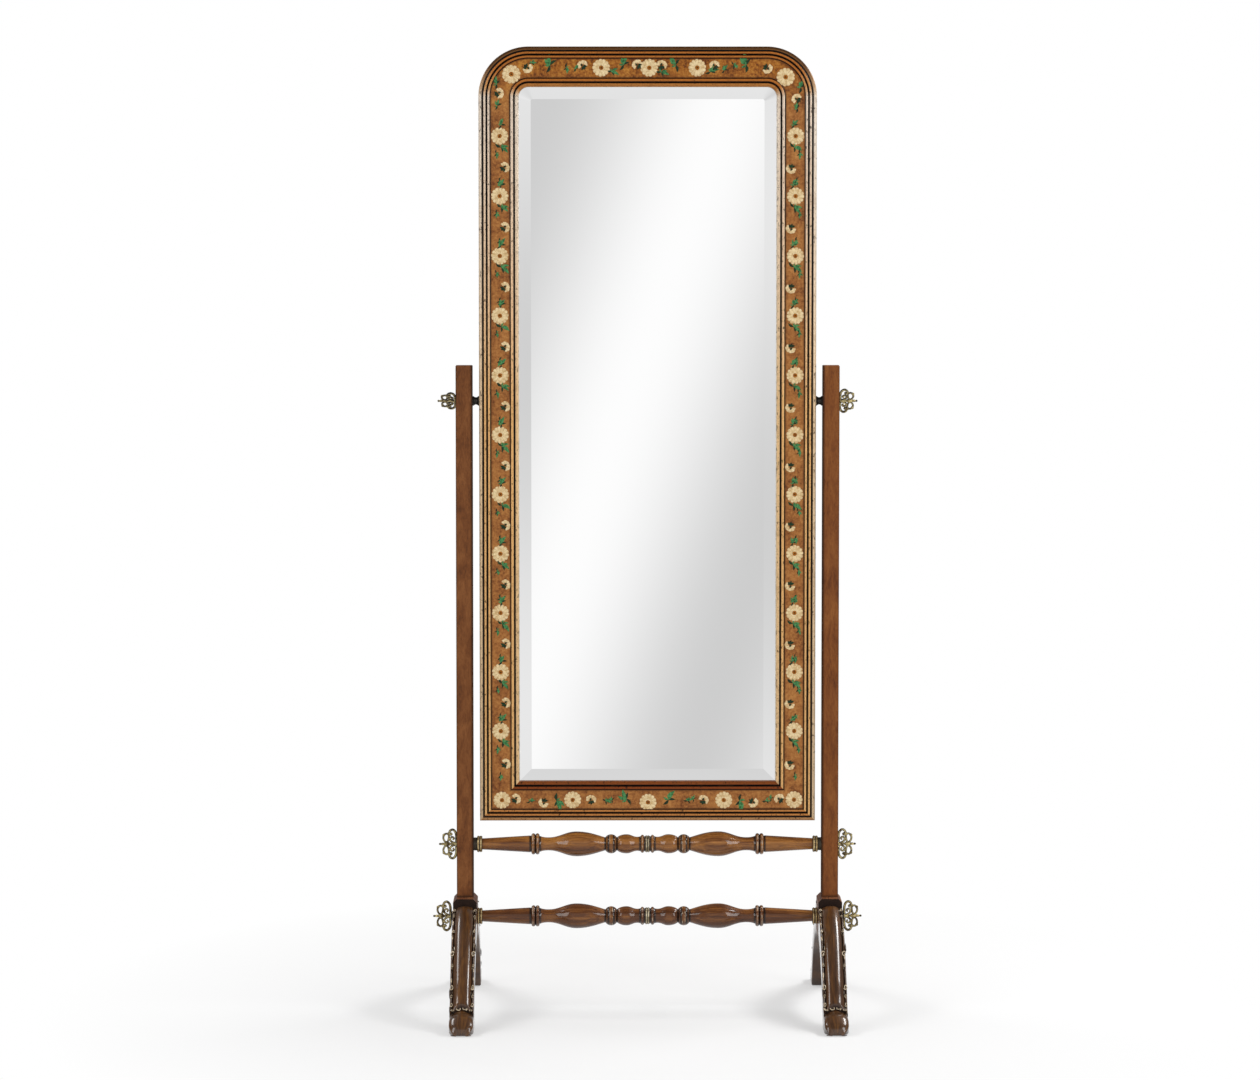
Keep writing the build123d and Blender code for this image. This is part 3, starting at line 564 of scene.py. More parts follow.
# Its knobs: out, up, radius and painted shade; then the stem's turned profile: out, radius and painted shade
KNOBS = ((11.4, 21.4, 1.7, 0.0), (7.4, 9.2, 2.1, 0.0), (26.0, 17.6, 3.0, 0.35), (17.0, 20.8, 2.6, 0.35))
STEM = ((0.0, 0.2, 0.6), (0.0, 4.6, 0.6), (1.6, 4.4, 0.3), (2.6, 3.2, 0), (6.0, 2.2, 0), (10.0, 1.9, 0),
        (14.0, 2.2, 0), (18.0, 3.2, 0), (20.5, 3.9, 0), (22.0, 2.8, 0), (25.0, 2.3, 0), (28.0, 2.7, 0),
        (30.5, 2.2, 0), (32.0, 1.4, 0.5))


def finial_mesh(name, material, place):
    """One openwork casting pointing along +X, put where place says."""
    mesh, hollow = new_mesh("hollow")
    for side in (1, -1):
        def line(points, steps, closed=False):
            return smooth_points([(a * MM, 0, side * b * MM) for a, b in points], steps, closed)

        for points, first, last, steps, sides in RODS:
            add_tube(mesh, hollow, line(points, steps), (first * MM, last * MM), sides)
        add_tube(mesh, hollow, line(LOOP, 4, True), (2.0 * MM, 2.0 * MM), 8, closed=True)
        for out, up, radius, shade_amount in KNOBS:
            add_ball(mesh, hollow, (out * MM, 0, side * up * MM), radius * MM, shade_amount)
    add_turned(mesh, hollow, STEM, 16)
    add_ball(mesh, hollow, (33.4 * MM, 0, 0), 2.2 * MM, 0.75, (1.2, 1, 1))
    mesh.transform(place)
    if place.determinant() < 0:
        bmesh.ops.reverse_faces(mesh, faces=mesh.faces)
    return finished(name, mesh, material)


def finial_place(side, face_x, z, angle):
    """Where a casting goes: out from face_x at a height, turned about X, and mirrored for the left side."""
    turn = Matrix.Rotation(math.radians(angle), 4, "X")
    out = Matrix.Translation((face_x, 0, z)) @ turn
    if side < 0:
        return Matrix.Diagonal((-1, 1, 1, 1)) @ out
    return out


# Carved legs: each line is a row of (forward, up) points in millimetres, from the foot block to the nose

LEG_TOP = [(45, 205), (84, 193.5), (142, 163), (190, 125), (225, 92), (252, 60), (270.5, 41)]
LEG_UNDER = [(45, 149), (108, 128.5), (150, 103), (185, 78), (212, 46), (232, 18), (246, 1.2)]
TOE_TOP = [(270.5, 41), (280, 38.2), (293, 37.6), (307, 34.8), (319, 27.6), (327, 18.5), (330, 9.0), (325.5, 1.2)]
TOE_UNDER = [(across, 1.2) for across in (246, 262, 278, 292, 304, 314, 321, 325)]
TOP_STEPS, TOE_STEPS = 8, 6
LEG_HALF, PANEL_HALF = 23.5, 18.0
NOSE, NOSE_RADIUS = 330.0, 14.0
CAP_STARTS, CAP_ARCH = 268.0, 13.0
CURL_STEPS = 14

# Half of the leg's top in section: across, height, painted shade and painted highlight
HALF_SECTION = [
    (0.0, 8.6, 0, 0), (4.5, 8.3, 0, 0), (8.5, 7.4, 0, 0), (12.0, 5.9, 0, 0), (14.6, 4.0, 0, 0),
    (16.6, 1.8, 0, 0), (17.8, -0.2, 0.4, 0), (18.4, -1.8, 1, 0), (18.9, -2.4, 1, 0), (19.5, -1.6, 0.8, 0),
    (20.0, -0.2, 0.3, 0.5), (20.8, 0.7, 0, 1), (21.8, 0.6, 0, 1), (22.7, -0.4, 0.2, 0.6), (23.3, -2.4, 0.6, 0),
    (23.5, -4.0, 0.2, 0), (23.5, -7.0, 0, 0),
]
CAP_SECTION = [(LEG_HALF * math.sin(a), -11.0 * (1 - math.cos(a)))
               for a in (math.radians(5.3 * k) for k in range(len(HALF_SECTION)))]


def leg_lines():
    """Stations down the leg and over the toe: top point, bottom point and the panel's share of its height."""
    def line(points, steps):
        return smooth_points([(a, b, 0) for a, b in points], steps)

    top, under = line(LEG_TOP, TOP_STEPS), line(LEG_UNDER, TOP_STEPS)
    stations = []
    for i, (t, u) in enumerate(zip(top, under)):
        share = i / (len(top) - 1)
        rise, fall = min(1.0, share / 0.05), min(1.0, (1 - share) / 0.07)
        panel = math.sqrt(1 - (1 - rise) ** 2) * math.sqrt(1 - (1 - fall) ** 2)
        stations.append((t, u, max(0.02, panel)))
    toe = zip(line(TOE_TOP, TOE_STEPS)[1:], line(TOE_UNDER, TOE_STEPS)[1:])
    return stations + [(t, u, 0.0) for t, u in toe]


def leg_half(index, station, up):
    """Half of the leg's outline at a station: across, point, painted shade and painted highlight, from the crest
    to the sole.
    """
    top, under, panel = station
    half = []
    for (x, h, dark, light), (cap_x, cap_h) in zip(HALF_SECTION, CAP_SECTION):
        past = top.x - CAP_STARTS - CAP_ARCH * (x / LEG_HALF) ** 2
        cap = min(1.0, max(0.0, (past + 4) / 8))
        valley = math.exp(-(past / 2.6) ** 2)
        level = h * panel if h > 0 and x < PANEL_HALF else h
        level = level * (1 - cap) + cap_h * cap - 1.7 * valley
        # Painted shade at the leg's root under the block and in the valley where the toe cap starts
        root = 1 - min(1.0, index / 2.5) if x < PANEL_HALF else 0.0
        point = top.xy + up.lerp(Vector((0, 1)), cap) * level
        point.y = max(point.y, under.y + 0.2)
        half.append((x * (1 - cap) + cap_x * cap, point, max(dark * (1 - cap), root, valley), light * (1 - cap)))
    half.append((LEG_HALF, under.xy + (top.xy - under.xy) * 0.5, 0, 0))
    # Painted shade towards the sole's corner
    half.append((LEG_HALF, Vector((under.x, under.y + 1.5)), 0.2, 0))
    half.append((LEG_HALF - 1.5, under.xy, 0.3, 0))
    return half


def leg_piece(name, side, back, material):
    """One carved leg: the slab's sides, a half-round panel, edge beads with a groove, and a plain toe cap."""
    mesh, hollow, edge = new_mesh("hollow", "edge")
    grain = mesh.loops.layers.uv.new("grain")
    stations = leg_lines()
    rings, runs = [], [0.0]
    for i, station in enumerate(stations):
        before = stations[max(0, i - 1)][0]
        after = stations[min(len(stations) - 1, i + 1)][0]
        runs.append(runs[-1] + (station[0] - before).length * MM)
        along = (after - before).normalized()
        inside_nose = min(max(station[0].x, station[1].x), NOSE) - (NOSE - NOSE_RADIUS)
        width = 1.0
        if inside_nose > 0:
            width = (LEG_HALF - NOSE_RADIUS + math.sqrt(NOSE_RADIUS ** 2 - inside_nose ** 2)) / LEG_HALF
        half = leg_half(i, station, Vector((-along.y, along.x)))
        ring = []
        for x, point, dark, light in half + [(-x, *rest) for x, *rest in reversed(half[1:])]:
            y = point.x if back else -point.x
            vert = mesh.verts.new((side * POST_X + x * width * MM, y * MM, point.y * MM))
            vert[hollow], vert[edge] = dark, light
            ring.append(vert)
        rings.append(ring)
    size = len(rings[0])
    for i, (first, second) in enumerate(zip(rings, rings[1:])):
        for k in range(size):
            face = mesh.faces.new((first[k], first[(k + 1) % size], second[(k + 1) % size], second[k]))
            for loop, (row, column) in zip(face.loops, ((i, k), (i, k + 1), (i + 1, k + 1), (i + 1, k))):
                loop[grain].uv = (runs[row + 1] + (0.4 if back else 0), column * 0.003 + side * 0.2)
    mesh.faces.new(rings[0])
    mesh.faces.new(rings[-1][::-1])
    return finished(name, mesh, material)


def curl_shape(leafy):
    """A small carved C-scroll, with or without a leaf, lying flat: X along the leg, Z out of the wood."""
    mesh, hollow, edge = new_mesh("hollow", "edge")
    path = []
    for k in range(CURL_STEPS + 1):
        share = k / CURL_STEPS
        angle = math.radians(-60 + 400 * share)
        radius = (4.6 - 3.1 * share) * MM
        path.append(Vector((math.cos(angle) * radius, math.sin(angle) * radius, 0.6 * MM)))
    rings = []
    for i, point in enumerate(path):
        ahead = (path[min(i + 1, CURL_STEPS)] - path[max(i - 1, 0)]).normalized()
        side = Vector((-ahead.y, ahead.x, 0))
        thick = (1.4 - 0.5 * i / CURL_STEPS) * MM
        ring = []
        for angle in round_angles(6):
            up = math.sin(angle)
            vert = mesh.verts.new(point + side * (math.cos(angle) * thick) + Vector((0, 0, up * thick)))
            # Painted shade on the curl's lower half and a painted highlight along its upper half
            vert[hollow], vert[edge] = (0.95, 0.0) if up < 0.1 else (0.0, 1.8)
            ring.append(vert)
        rings.append(ring)
    add_quads(mesh, rings)
    mesh.faces.new(rings[0][::-1])
    mesh.faces.new(rings[-1])
    if leafy:
        tip = path[0]
        leaf = [(0, 0, 0.2), (4, 2.0, 1.0), (10, 1.6, 0.9), (17, -0.4, 0.1), (10, -1.6, 0.5), (4, -1.8, 0.6)]
        # Painted shade round the leaf's outline and a painted highlight at its raised middle
        centre = mesh.verts.new(tip + Vector((8, -0.2, 2.4)) * MM)
        centre[edge] = 1.6
        border = [mesh.verts.new(tip + Vector(p) * MM) for p in leaf]
        for vert in border:
            vert[hollow] = 0.8
        for a, b in zip(border, border[1:] + border[:1]):
            mesh.faces.new((a, b, centre))
        mesh.faces.new(border[::-1])
    return finished("curl_shape", mesh, None)


# Shapes repeated by Geometry Nodes


def spread_tree(name, ringed_shape=False):
    """Nodes that put a shape on every point, turned and sized by the point's own numbers."""
    tree = bpy.data.node_groups.new(name, "GeometryNodeTree")
    for label, kind in (("Geometry", "Geometry"), ("Shape", "Object"), ("Finish", "Material"), ("Petals", "Int"),
                        ("Eye Radius", "Float"), ("Seed", "Int")):
        tree.interface.new_socket(name=label, in_out="INPUT", socket_type=f"NodeSocket{kind}")
    tree.interface.new_socket(name="Geometry", in_out="OUTPUT", socket_type="NodeSocketGeometry")
    nodes = Nodes(tree)
    node, first = nodes.make, nodes.first

    def vector(name):
        kind = {"data_type": "FLOAT_VECTOR"}
        return first("GeometryNodeInputNamedAttribute", kind, {"Name": name})

    def rotation(angles):
        return first("FunctionNodeEulerToRotation", None, {0: angles})

    start = node("NodeGroupInput")
    shape = node("GeometryNodeObjectInfo", None, {"Object": start.outputs["Shape"]}).outputs["Geometry"]
    if ringed_shape:
        circle = first("GeometryNodeMeshCircle", None, {
            "Vertices": start.outputs["Petals"], "Radius": start.outputs["Eye Radius"]})
        index = first("GeometryNodeInputIndex")
        petals = start.outputs["Petals"]
        step = first("ShaderNodeMath", {"operation": "DIVIDE"}, {0: 2 * math.pi, 1: petals})
        angle = first("ShaderNodeMath", {"operation": "MULTIPLY"}, {0: index, 1: step})
        turn = first("ShaderNodeCombineXYZ", None, {"Z": angle})
        shape = first("GeometryNodeInstanceOnPoints", None, {
            "Points": circle, "Instance": shape, "Rotation": rotation(turn)})
        shape = first("GeometryNodeRealizeInstances", None, {0: shape})
    placed = first("GeometryNodeInstanceOnPoints", None, {
        "Points": start.outputs["Geometry"], "Instance": shape, "Rotation": rotation(vector("turn")),
        "Scale": vector("size")})
    if ringed_shape:
        spin = node("FunctionNodeRandomValue", {"data_type": "FLOAT"}, {"Seed": start.outputs["Seed"]})
        spin.inputs[3].default_value = 2 * math.pi
        spun = first("ShaderNodeCombineXYZ", None, {"Z": spin.outputs[1]})
        placed = first("GeometryNodeRotateInstances", None, {
            "Instances": placed, "Rotation": rotation(spun)})
    real = first("GeometryNodeRealizeInstances", None, {0: placed})
    dressed = first("GeometryNodeSetMaterial", None, {
        "Geometry": real, "Material": start.outputs["Finish"]})
    node("NodeGroupOutput", None, {0: dressed})
    return tree


def spread(name, tree, places, shape, material):
    """One plain mesh of a shape repeated at places, each a point, a turn and a size."""
    data = bpy.data.meshes.new(name)
    data.from_pydata([tuple(place[0]) for place in places], [], [])
    for key, column in (("turn", 1), ("size", 2)):
        attribute = data.attributes.new(key, "FLOAT_VECTOR", "POINT")
        for index, place in enumerate(places):
            attribute.data[index].vector = tuple(place[column])
    piece = linked(name, data)
    modifier = piece.modifiers.new("spread", "NODES")
    modifier.node_group = tree
    values = {"Shape": shape, "Finish": material, "Petals": 13, "Eye Radius": 3.2 * MM, "Seed": 9}
    for item in tree.interface.items_tree:
        if item.item_type == "SOCKET" and item.in_out == "INPUT" and item.name in values:
            modifier[item.identifier] = values[item.name]
    bpy.context.view_layer.update()
    graph = bpy.context.evaluated_depsgraph_get()
    plain = bpy.data.meshes.new_from_object(piece.evaluated_get(graph))
    piece.modifiers.remove(modifier)
    piece.data = plain
    plain.name = name
    if not plain.materials:
        plain.materials.append(material)
    for polygon in plain.polygons:
        polygon.use_smooth = True
    return piece


def petal_shape(length, width, crown, start=0.0):
    """A rounded petal along X, crowned along its middle, with its outline marked."""
    mesh, drawn = new_mesh("rim")
    rows = [(0.0, 0.25, 0.3), (0.3, 0.62, 0.0), (0.6, 0.95, 0.0), (0.82, 1.0, 0.0), (0.95, 0.7, 0.35),
            (1.0, 0.3, 1.0)]
    strips = []
    for share, wide, middle_rim in rows:
        lift = crown * math.sin(math.pi * min(1.0, 0.12 + share * 0.8))
        strip = []
        for across, rise, rim in ((-1, 0, 1), (-0.55, 0.8, 0.35), (0, 1, 0), (0.55, 0.8, 0.35), (1, 0, 1)):
            vert = mesh.verts.new((start + share * (length - start), across * wide * width / 2, lift * rise))
            vert[drawn] = max(rim, middle_rim)
            strip.append(vert)
        strips.append(strip)
    add_quads(mesh, strips, closed=False, turned=True)
    return finished("petal_shape", mesh, None, turned_out=False)


def leaf_shape(length, width, crown):
    """A pointed leaf along X."""
    mesh = bmesh.new()
    rows = [(0.0, 0.05), (0.2, 0.62), (0.42, 1.0), (0.7, 0.7), (1.0, 0.04)]
    strips = []
    for share, wide in rows:
        lift = crown * math.sin(math.pi * (0.1 + share * 0.8))
        bend = 0.12 * length * math.sin(math.pi * share)
        strips.append([
            mesh.verts.new((share * length, bend - wide * width / 2, 0.0)),
            mesh.verts.new((share * length, bend, lift)),
            mesh.verts.new((share * length, bend + wide * width / 2, 0.0)),
        ])
    add_quads(mesh, strips, closed=False, turned=True)
    return finished("leaf_shape", mesh, None, turned_out=False)


def eye_shape():
    """The domed eye of a daisy."""
    mesh = bmesh.new()
    rings = []
    for radius, height in ((3.4, 0.2), (3.0, 0.7), (1.9, 1.0), (1.0, 0.55)):
        rings.append([mesh.verts.new((math.cos(a) * radius * MM, math.sin(a) * radius * MM, height * MM))
                      for a in round_angles(10)])
    add_quads(mesh, rings)
    mesh.faces.new(rings[-1])
    return finished("eye_shape", mesh, None, turned_out=False)


# The painted border: x from the middle and z from the band's middle line, in millimetres, then the turn
# in degrees and the size where they change
TOP_DAISIES = ((-91, 0, 1.02), (3, 0, 1.02), (97, 0, 1.02))
LOW_DAISIES = ((-288, -0.5, 1.0), (-148, 0, 1.0), (1, -5, 1.0), (151, -0.5, 1.0), (290, 0, 1.0))
TOP_HALVES = ((-127, 3, 65), (-19.5, 4.5, 80), (27, 3.5, 25), (131, 2.5, 55), (-236, 1, -100), (233, 0, -95),
              (-293, -50, -35), (293, -62, 85))
LOW_HALVES = ((-262, 1, -15), (-204.5, -4, -170), (-112, -2, 35), (110, -2, 15), (208, -4, -95), (262, 0, 75))
TOP_SPRIGS = ((-191, 5, 80, 1.25), (-47, 6, 70, 1.2), (55, 6, 110, 1.2), (193, 6, 100, 1.25), (-71, -8, -20, 0.9),
              (26, -9, -10, 0.9), (123, -8, 20, 0.9), (-160, 0, -80, 0.7), (-140, -2, 60, 0.6),
              (150, -5, 50, 0.7), (168, 6, -60, 0.7), (-227, 9, 10, 0.6), (-295, -32, 90, 0.9),
              (-294, -74, 80, 0.8), (300, -38, 70, 0.9), (293, -79, 100, 0.8))
LOW_SPRIGS = ((-180, -2, -80, 1.2), (-41, 2, 120, 1.2), (42, 0, 50, 1.2), (182, -2, -100, 1.2),
              (-232, -3, 20, 0.6), (-83, -2, -30, 0.7), (-70, -1, 90, 0.5), (79, -2, 10, 0.6), (91, 1, 80, 0.5),
              (235, -3, 10, 0.6), (245, 2, 80, 0.5))
SIDE_FIRST_Z, SIDE_PITCH, SIDE_COUNT = 553.4 * MM, 117.2 * MM, 11


def border_points():
    """Where the painted flowers stand: daisies, half-open flowers and leaf sprigs round the band."""
    side_x = FRAME_HALF - FLOWERS_FROM_EDGE
    diagonal = (SHOULDER - FLOWERS_FROM_EDGE) * math.sqrt(0.5)
    round_x, round_z = FRAME_HALF - SHOULDER + diagonal, FRAME_TOP - SHOULDER + diagonal
    daisies, halves, sprigs = [], [], []
    for side in (-1, 1):
        for step in range(SIDE_COUNT):
            z = SIDE_FIRST_Z + step * SIDE_PITCH
            daisies.append((side * side_x, z, 1.0))
            drop = 62 if step else 66
            halves.append((side * (side_x - 8 * MM), z - drop * MM, -18 if side < 0 else 198))
            for inwards, up, turn, size in ((3, -22, -35, 1.0), (-7, -34, -80, 0.6), (-1, -88, -95, 0.62),
                                            (3, 21, 60, 0.8)):
                sprigs.append((side * (side_x - inwards * MM), z + up * MM, turn, size))
    daisies += [(-round_x + 6.5 * MM, round_z + 4 * MM, 1.08), (round_x - 3.5 * MM, round_z - 1.5 * MM, 1.06)]
    for points, top_row, low_row in ((daisies, TOP_DAISIES, LOW_DAISIES), (halves, TOP_HALVES, LOW_HALVES),
                                     (sprigs, TOP_SPRIGS, LOW_SPRIGS)):
        for level, row in ((FRAME_TOP - FLOWERS_FROM_EDGE, top_row), (FRAME_BOTTOM + FLOWERS_FROM_EDGE, low_row)):
            points += [(x * MM, level + up * MM, *rest) for x, up, *rest in row]
    return daisies, halves, sprigs


def laid(x, z, degrees, size, lift=0.0):
    """A point on the band, lift above it, with the turn that lays a shape there and the shape's size."""
    turn = Matrix.Rotation(math.radians(90), 3, "X") @ Matrix.Rotation(math.radians(degrees), 3, "Z")
    return Vector((x, PAINT_FACE_Y - 0.05 * MM - lift, z)), turn.to_euler(), size


def painted_flowers(finishes):
    """The painted border, as paint that stands a hair proud of the band."""
    chance = random.Random(11)
    daisies, halves, sprigs = border_points()
    plain, ringed_tree = spread_tree("sprigs"), spread_tree("daisies", True)
    petal = petal_shape(13.8 * MM, 7.6 * MM, 0.7 * MM)
    small = petal_shape(11.6 * MM, 7.4 * MM, 0.6 * MM, 4.2 * MM)
    leaf = leaf_shape(16.5 * MM, 7.2 * MM, 0.5 * MM)
    eye = eye_shape()
    flowers = [laid(x, z, 0, (s, s, 1)) for x, z, s in daisies]
    eyes = [laid(x, z, 0, (s * 1.3, s * 1.3, 0.8), 0.3 * MM) for x, z, s in daisies]
    pupils = [laid(x, z, 0, (s * 0.4, s * 0.4, 0.4), 0.75 * MM) for x, z, s in daisies]
    fan, cups, greens, darks = [], [], [], []
    for x, z, turn in halves:
        for spin in (-84, -52, -18, 18, 52, 84):
            size = 1.0 if abs(spin) < 60 else 0.85
            fan.append(laid(x, z, turn + spin + 45, (size, size, 1)))
        for spin in (-40, 10, 60):
            cups.append(laid(x, z, turn + 45 + spin + 180, (0.5, 0.7, 1), 0.45 * MM))
        cups.append(laid(x, z, turn + 55, (0.4, 0.5, 1), 0.5 * MM))
    for x, z, turn, size in sprigs:
        for spin, grow, group in ((0, 1.0, greens), (38, 0.8, greens), (-46, 0.62, darks), (170, 0.7, darks),
                                  (100, 0.5, greens)):
            turned = turn + spin + chance.uniform(-14, 14)
            scale = size * grow * chance.uniform(0.95, 1.25)
            lift = chance.uniform(0.0, 0.12) * MM
            group.append(laid(x, z, turned, (scale, scale * 0.9, 1), lift))
    pieces = [
        spread("daisy_petals", ringed_tree, flowers, petal, finishes["cream"]),
        spread("daisy_eyes", plain, eyes, eye, finishes["eye"]),
        spread("daisy_pupils", plain, pupils, eye, finishes["pupil"]),
        spread("half_open_flowers", plain, fan, small, finishes["cream"]),
        spread("flower_cups", plain, cups, leaf, finishes["dark_leaf"]),
        spread("green_leaves", plain, greens, leaf, finishes["leaf"]),
        spread("dark_leaves", plain, darks, leaf, finishes["dark_leaf"]),
    ]
    for shape in (petal, small, leaf, eye):
        bpy.data.objects.remove(shape)
    for piece in pieces:
        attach(piece, "mirror")


def leg_carving(finish):
    """Curls and leaves carved along the legs' edges, and a pair of curls where each toe cap starts."""
    stations = leg_lines()
    edge_marks = ((3, 1, 1.2), (8, -1, 0.7), (14, 1, 0.85), (22, -1, 1.3), (26, 1, 0.75), (35, 1, 1.2),
                  (39, -1, 0.75), (44, 1, 1.0))
    toe_marks = ((47, -5.6, 1.15), (47, 5.6, 1.15), (50, -17.0, 0.8), (50, 17.0, 0.8))
    leafy, plain = [], []

    def on_leg(station, forward, across, lift):
        """A point on the leg's top at a station, with the directions along the leg and out of the wood."""
        ahead = (stations[station + 1][0] - stations[station - 1][0]).normalized()
        point = stations[station][0]
        along, up = Vector((0, forward * ahead.x, ahead.y)), Vector((0, -forward * ahead.y, ahead.x))
        return Vector((across, forward * point.x * MM, point.y * MM)) + up * lift, along, up

    def turned(along, up):
        return Matrix((along, up.cross(along), up)).transposed().to_euler()

    for side in (-1, 1):
        for forward in (-1, 1):
            for edge_side in (-1, 1):
                for station, way, size in edge_marks:
                    point, along, up = on_leg(station, forward, side * POST_X + edge_side * 20.4 * MM, 0.7 * MM)
                    leafy.append((point, turned(along * way, up), (size * 1.15, size * 0.66, size)))
            for station, across, size in toe_marks:
                point, along, up = on_leg(station, forward, side * POST_X + across * MM, 0.8 * MM)
                out = Vector((1 if across > 0 else -1, 0, 0))
                plain.append((point, turned(out, up), (size, size, 1.0)))
    tree = spread_tree("curls")
    for name, places, with_leaf in (("leg_edge_carving", leafy, True), ("toe_curls", plain, False)):
        shape = curl_shape(with_leaf)
        piece = spread(name, tree, places, shape, finish)
        bpy.data.objects.remove(shape)
        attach(piece, "stand")


# Dressing the CAD nodes and adding the visual model's own pieces


def dress(material, *names):
    """Gives CAD nodes a better finish on their own slots."""
    for name in names:
        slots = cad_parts[name].material_slots
        for slot in slots:
            slot.material = material
        if not slots:
            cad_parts[name].data.materials.append(material)


def both(part):
    """The names of a part on the right and on the left."""
    return f"right_{part}", f"left_{part}"


def dress_stand():
    right = wood_finish("right_post_wood", "Z", srgb(80, 38, 12), srgb(122, 68, 27), srgb(144, 88, 40), post_marks,
                        stretch=(16.0, 60.0))
    left = wood_finish("left_post_wood", "Z", srgb(62, 32, 12), srgb(112, 64, 28), srgb(140, 88, 46), post_marks,
                       stretch=(16.0, 60.0))
    block = wood_finish("foot_block_wood", "Y", srgb(52, 28, 16), srgb(96, 56, 34), srgb(140, 92, 58), block_marks)
    dress(right, "right_post")
    dress(left, "left_post")
    dress(block, *both("foot_block"))
    rows = (
        ("upper", UPPER_Z, srgb(106, 60, 22), srgb(172, 114, 52), 338.0),
        ("lower", LOWER_Z, srgb(96, 53, 19), srgb(160, 104, 46), 337.5),
    )
    for level, z, middle, light, last_ring in rows:
        turned = wood_finish(f"{level}_stretcher_wood", "X", srgb(54, 27, 9), middle, light, turned_marks(z), 0.65,
                             0.34, 0.15, turned_painted_highlights)
        collar = brass_finish(f"{level}_collar_brass", srgb(226, 200, 146), srgb(160, 128, 80), srgb(20, 13, 7),
                              0.7, marks=ringed((327.5, 332.5, last_ring), 2.0))
        dress(turned, f"{level}_stretcher_right", f"{level}_stretcher_left")
        dress(collar, *both(f"{level}_collar"))
    ferrule = brass_finish("ringed_ferrule_brass", srgb(206, 194, 164), srgb(150, 132, 98), srgb(40, 30, 18), 0.7,
                           marks=ringed((0.0, 4.0), 1.3))
    dark_brass = brass_finish("dark_pivot_brass", srgb(36, 28, 20), srgb(20, 15, 11), srgb(8, 6, 4), 0.4)
    bush = brass_finish("bush_brass", srgb(150, 126, 76), srgb(96, 76, 44), srgb(30, 22, 12), 0.85)
    steel = plain_finish("plated_steel", (0.5, 0.5, 0.5), 0.3, 1.0, 400.0)
    beech = plain_finish("dowel_beech", srgb(196, 160, 116), 0.6, 0.0, 120.0, 0.2)
    dress(ferrule, "upper_ferrule", "lower_ferrule")
    dress(dark_brass, *both("pivot_spool"), *both("pivot_plate"), "finial_washers")
    dress(bush, *both("pivot_bush"))
    dress(steel, *both("pivot_screw"), "upper_tie_studs", "lower_tie_studs", "pivot_plate_screws", "board_screws")
    dress(beech, "frame_dowels", "mitre_splines", "leg_dowels", "upper_stretcher_dowel", "lower_stretcher_dowel")
    dress(plain_finish("glide_nylon", srgb(60, 50, 42), 0.5, 0.0, 200.0), "foot_glides")


def dress_mirror():
    dress(frame_finish(), *both("stile"), *both("corner"), "top_rail", "bottom_rail")
    dress(glass_finish(), "mirror_glass")
    dress(plain_finish("felt", (0.02, 0.02, 0.02), 0.9, 0.0, 1500.0, 0.4), "backing_felt")
    board = wood_finish("backing_board_wood", "Z", srgb(96, 64, 40), srgb(140, 98, 64), srgb(170, 128, 88),
                        gloss=0.6)
    dress(board, "backing_board")
    painted_flowers({
        "cream": paint_finish("cream_paint", srgb(240, 217, 170), srgb(208, 174, 122), 200.0, srgb(140, 88, 40)),
        "eye": paint_finish("flower_eye_paint", srgb(178, 108, 26), srgb(120, 66, 12), 500.0),
        "pupil": paint_finish("flower_centre_paint", srgb(56, 30, 10), srgb(40, 20, 8), 500.0),
        "leaf": paint_finish("leaf_paint", srgb(84, 146, 88), srgb(30, 82, 44), 300.0),
        "dark_leaf": paint_finish("dark_leaf_paint", srgb(34, 62, 34), srgb(20, 26, 16), 300.0),
    })


def add_legs():
    finish = leg_finish()
    for side, label in ((-1, "left"), (1, "right")):
        for back, end in ((False, "front"), (True, "rear")):
            leg = leg_piece(f"{label}_{end}_carved_leg", side, back, finish)
            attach(leg, "stand")
            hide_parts(f"{label}_{end}_leg")
    leg_carving(finish)


def add_castings():
    brass = brass_finish("openwork_brass", srgb(216, 198, 140), srgb(92, 72, 38), srgb(8, 6, 4), 0.6, True)
    face = POST_X + POST_HALF
    for side, label, tilt in ((-1, "left", 56), (1, "right", 38)):
        rows = (
            ("upper_finial", "stand", face, UPPER_Z, 0),
            ("lower_finial", "stand", POST_X + WASHER_FACE, LOWER_Z, 0),
            ("thumbscrew_head", f"{label}_thumbscrew", face + MOVING_GAP, PIVOT_Z, tilt),
        )
        for node, body, x, z, angle in rows:
            casting = finial_mesh(f"{label}_{node}_casting", brass, finial_place(side, x, z, angle))
            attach(casting, body)
            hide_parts(f"{label}_{node}")


# Studio


def studio_floor():
    """A white sweep of floor that keeps the object's shadow near it."""
    mesh = bmesh.new()
    bmesh.ops.create_grid(mesh, x_segments=1, y_segments=1, size=40.0)
    paper_grey, paper_glow = 0.43, 0.42
    finish = Finish("studio_floor")
    x, y, _ = finish.place()[1]
    distance = (x * x + y * y * 0.6) ** 0.5
    far = distance.between(0.55, 1.2)
    seen, glossy = finish.rays()

    def glow(strength):
        return finish.first("ShaderNodeEmission", None, {"Color": (1, 1, 1), "Strength": strength})

    paper = finish.first("ShaderNodeBsdfDiffuse", None, {"Color": (paper_grey,) * 3})
    near = finish.first("ShaderNodeAddShader", None, {0: paper, 1: glow(paper_glow * (seen + glossy))})
    white = glow(1.0)
    shown = finish.first("ShaderNodeMixShader", None, {0: far * seen, 1: near, 2: white})
    open_to_sky = finish.first("ShaderNodeBsdfTransparent")
    whole = finish.first("ShaderNodeMixShader", None,
                        {0: glossy * distance.between(1.1, 1.3), 1: shown, 2: open_to_sky})
    finish.tree.links.new(whole, finish.end.inputs[0])
    floor = finished("studio_floor", mesh, finish.material, False)


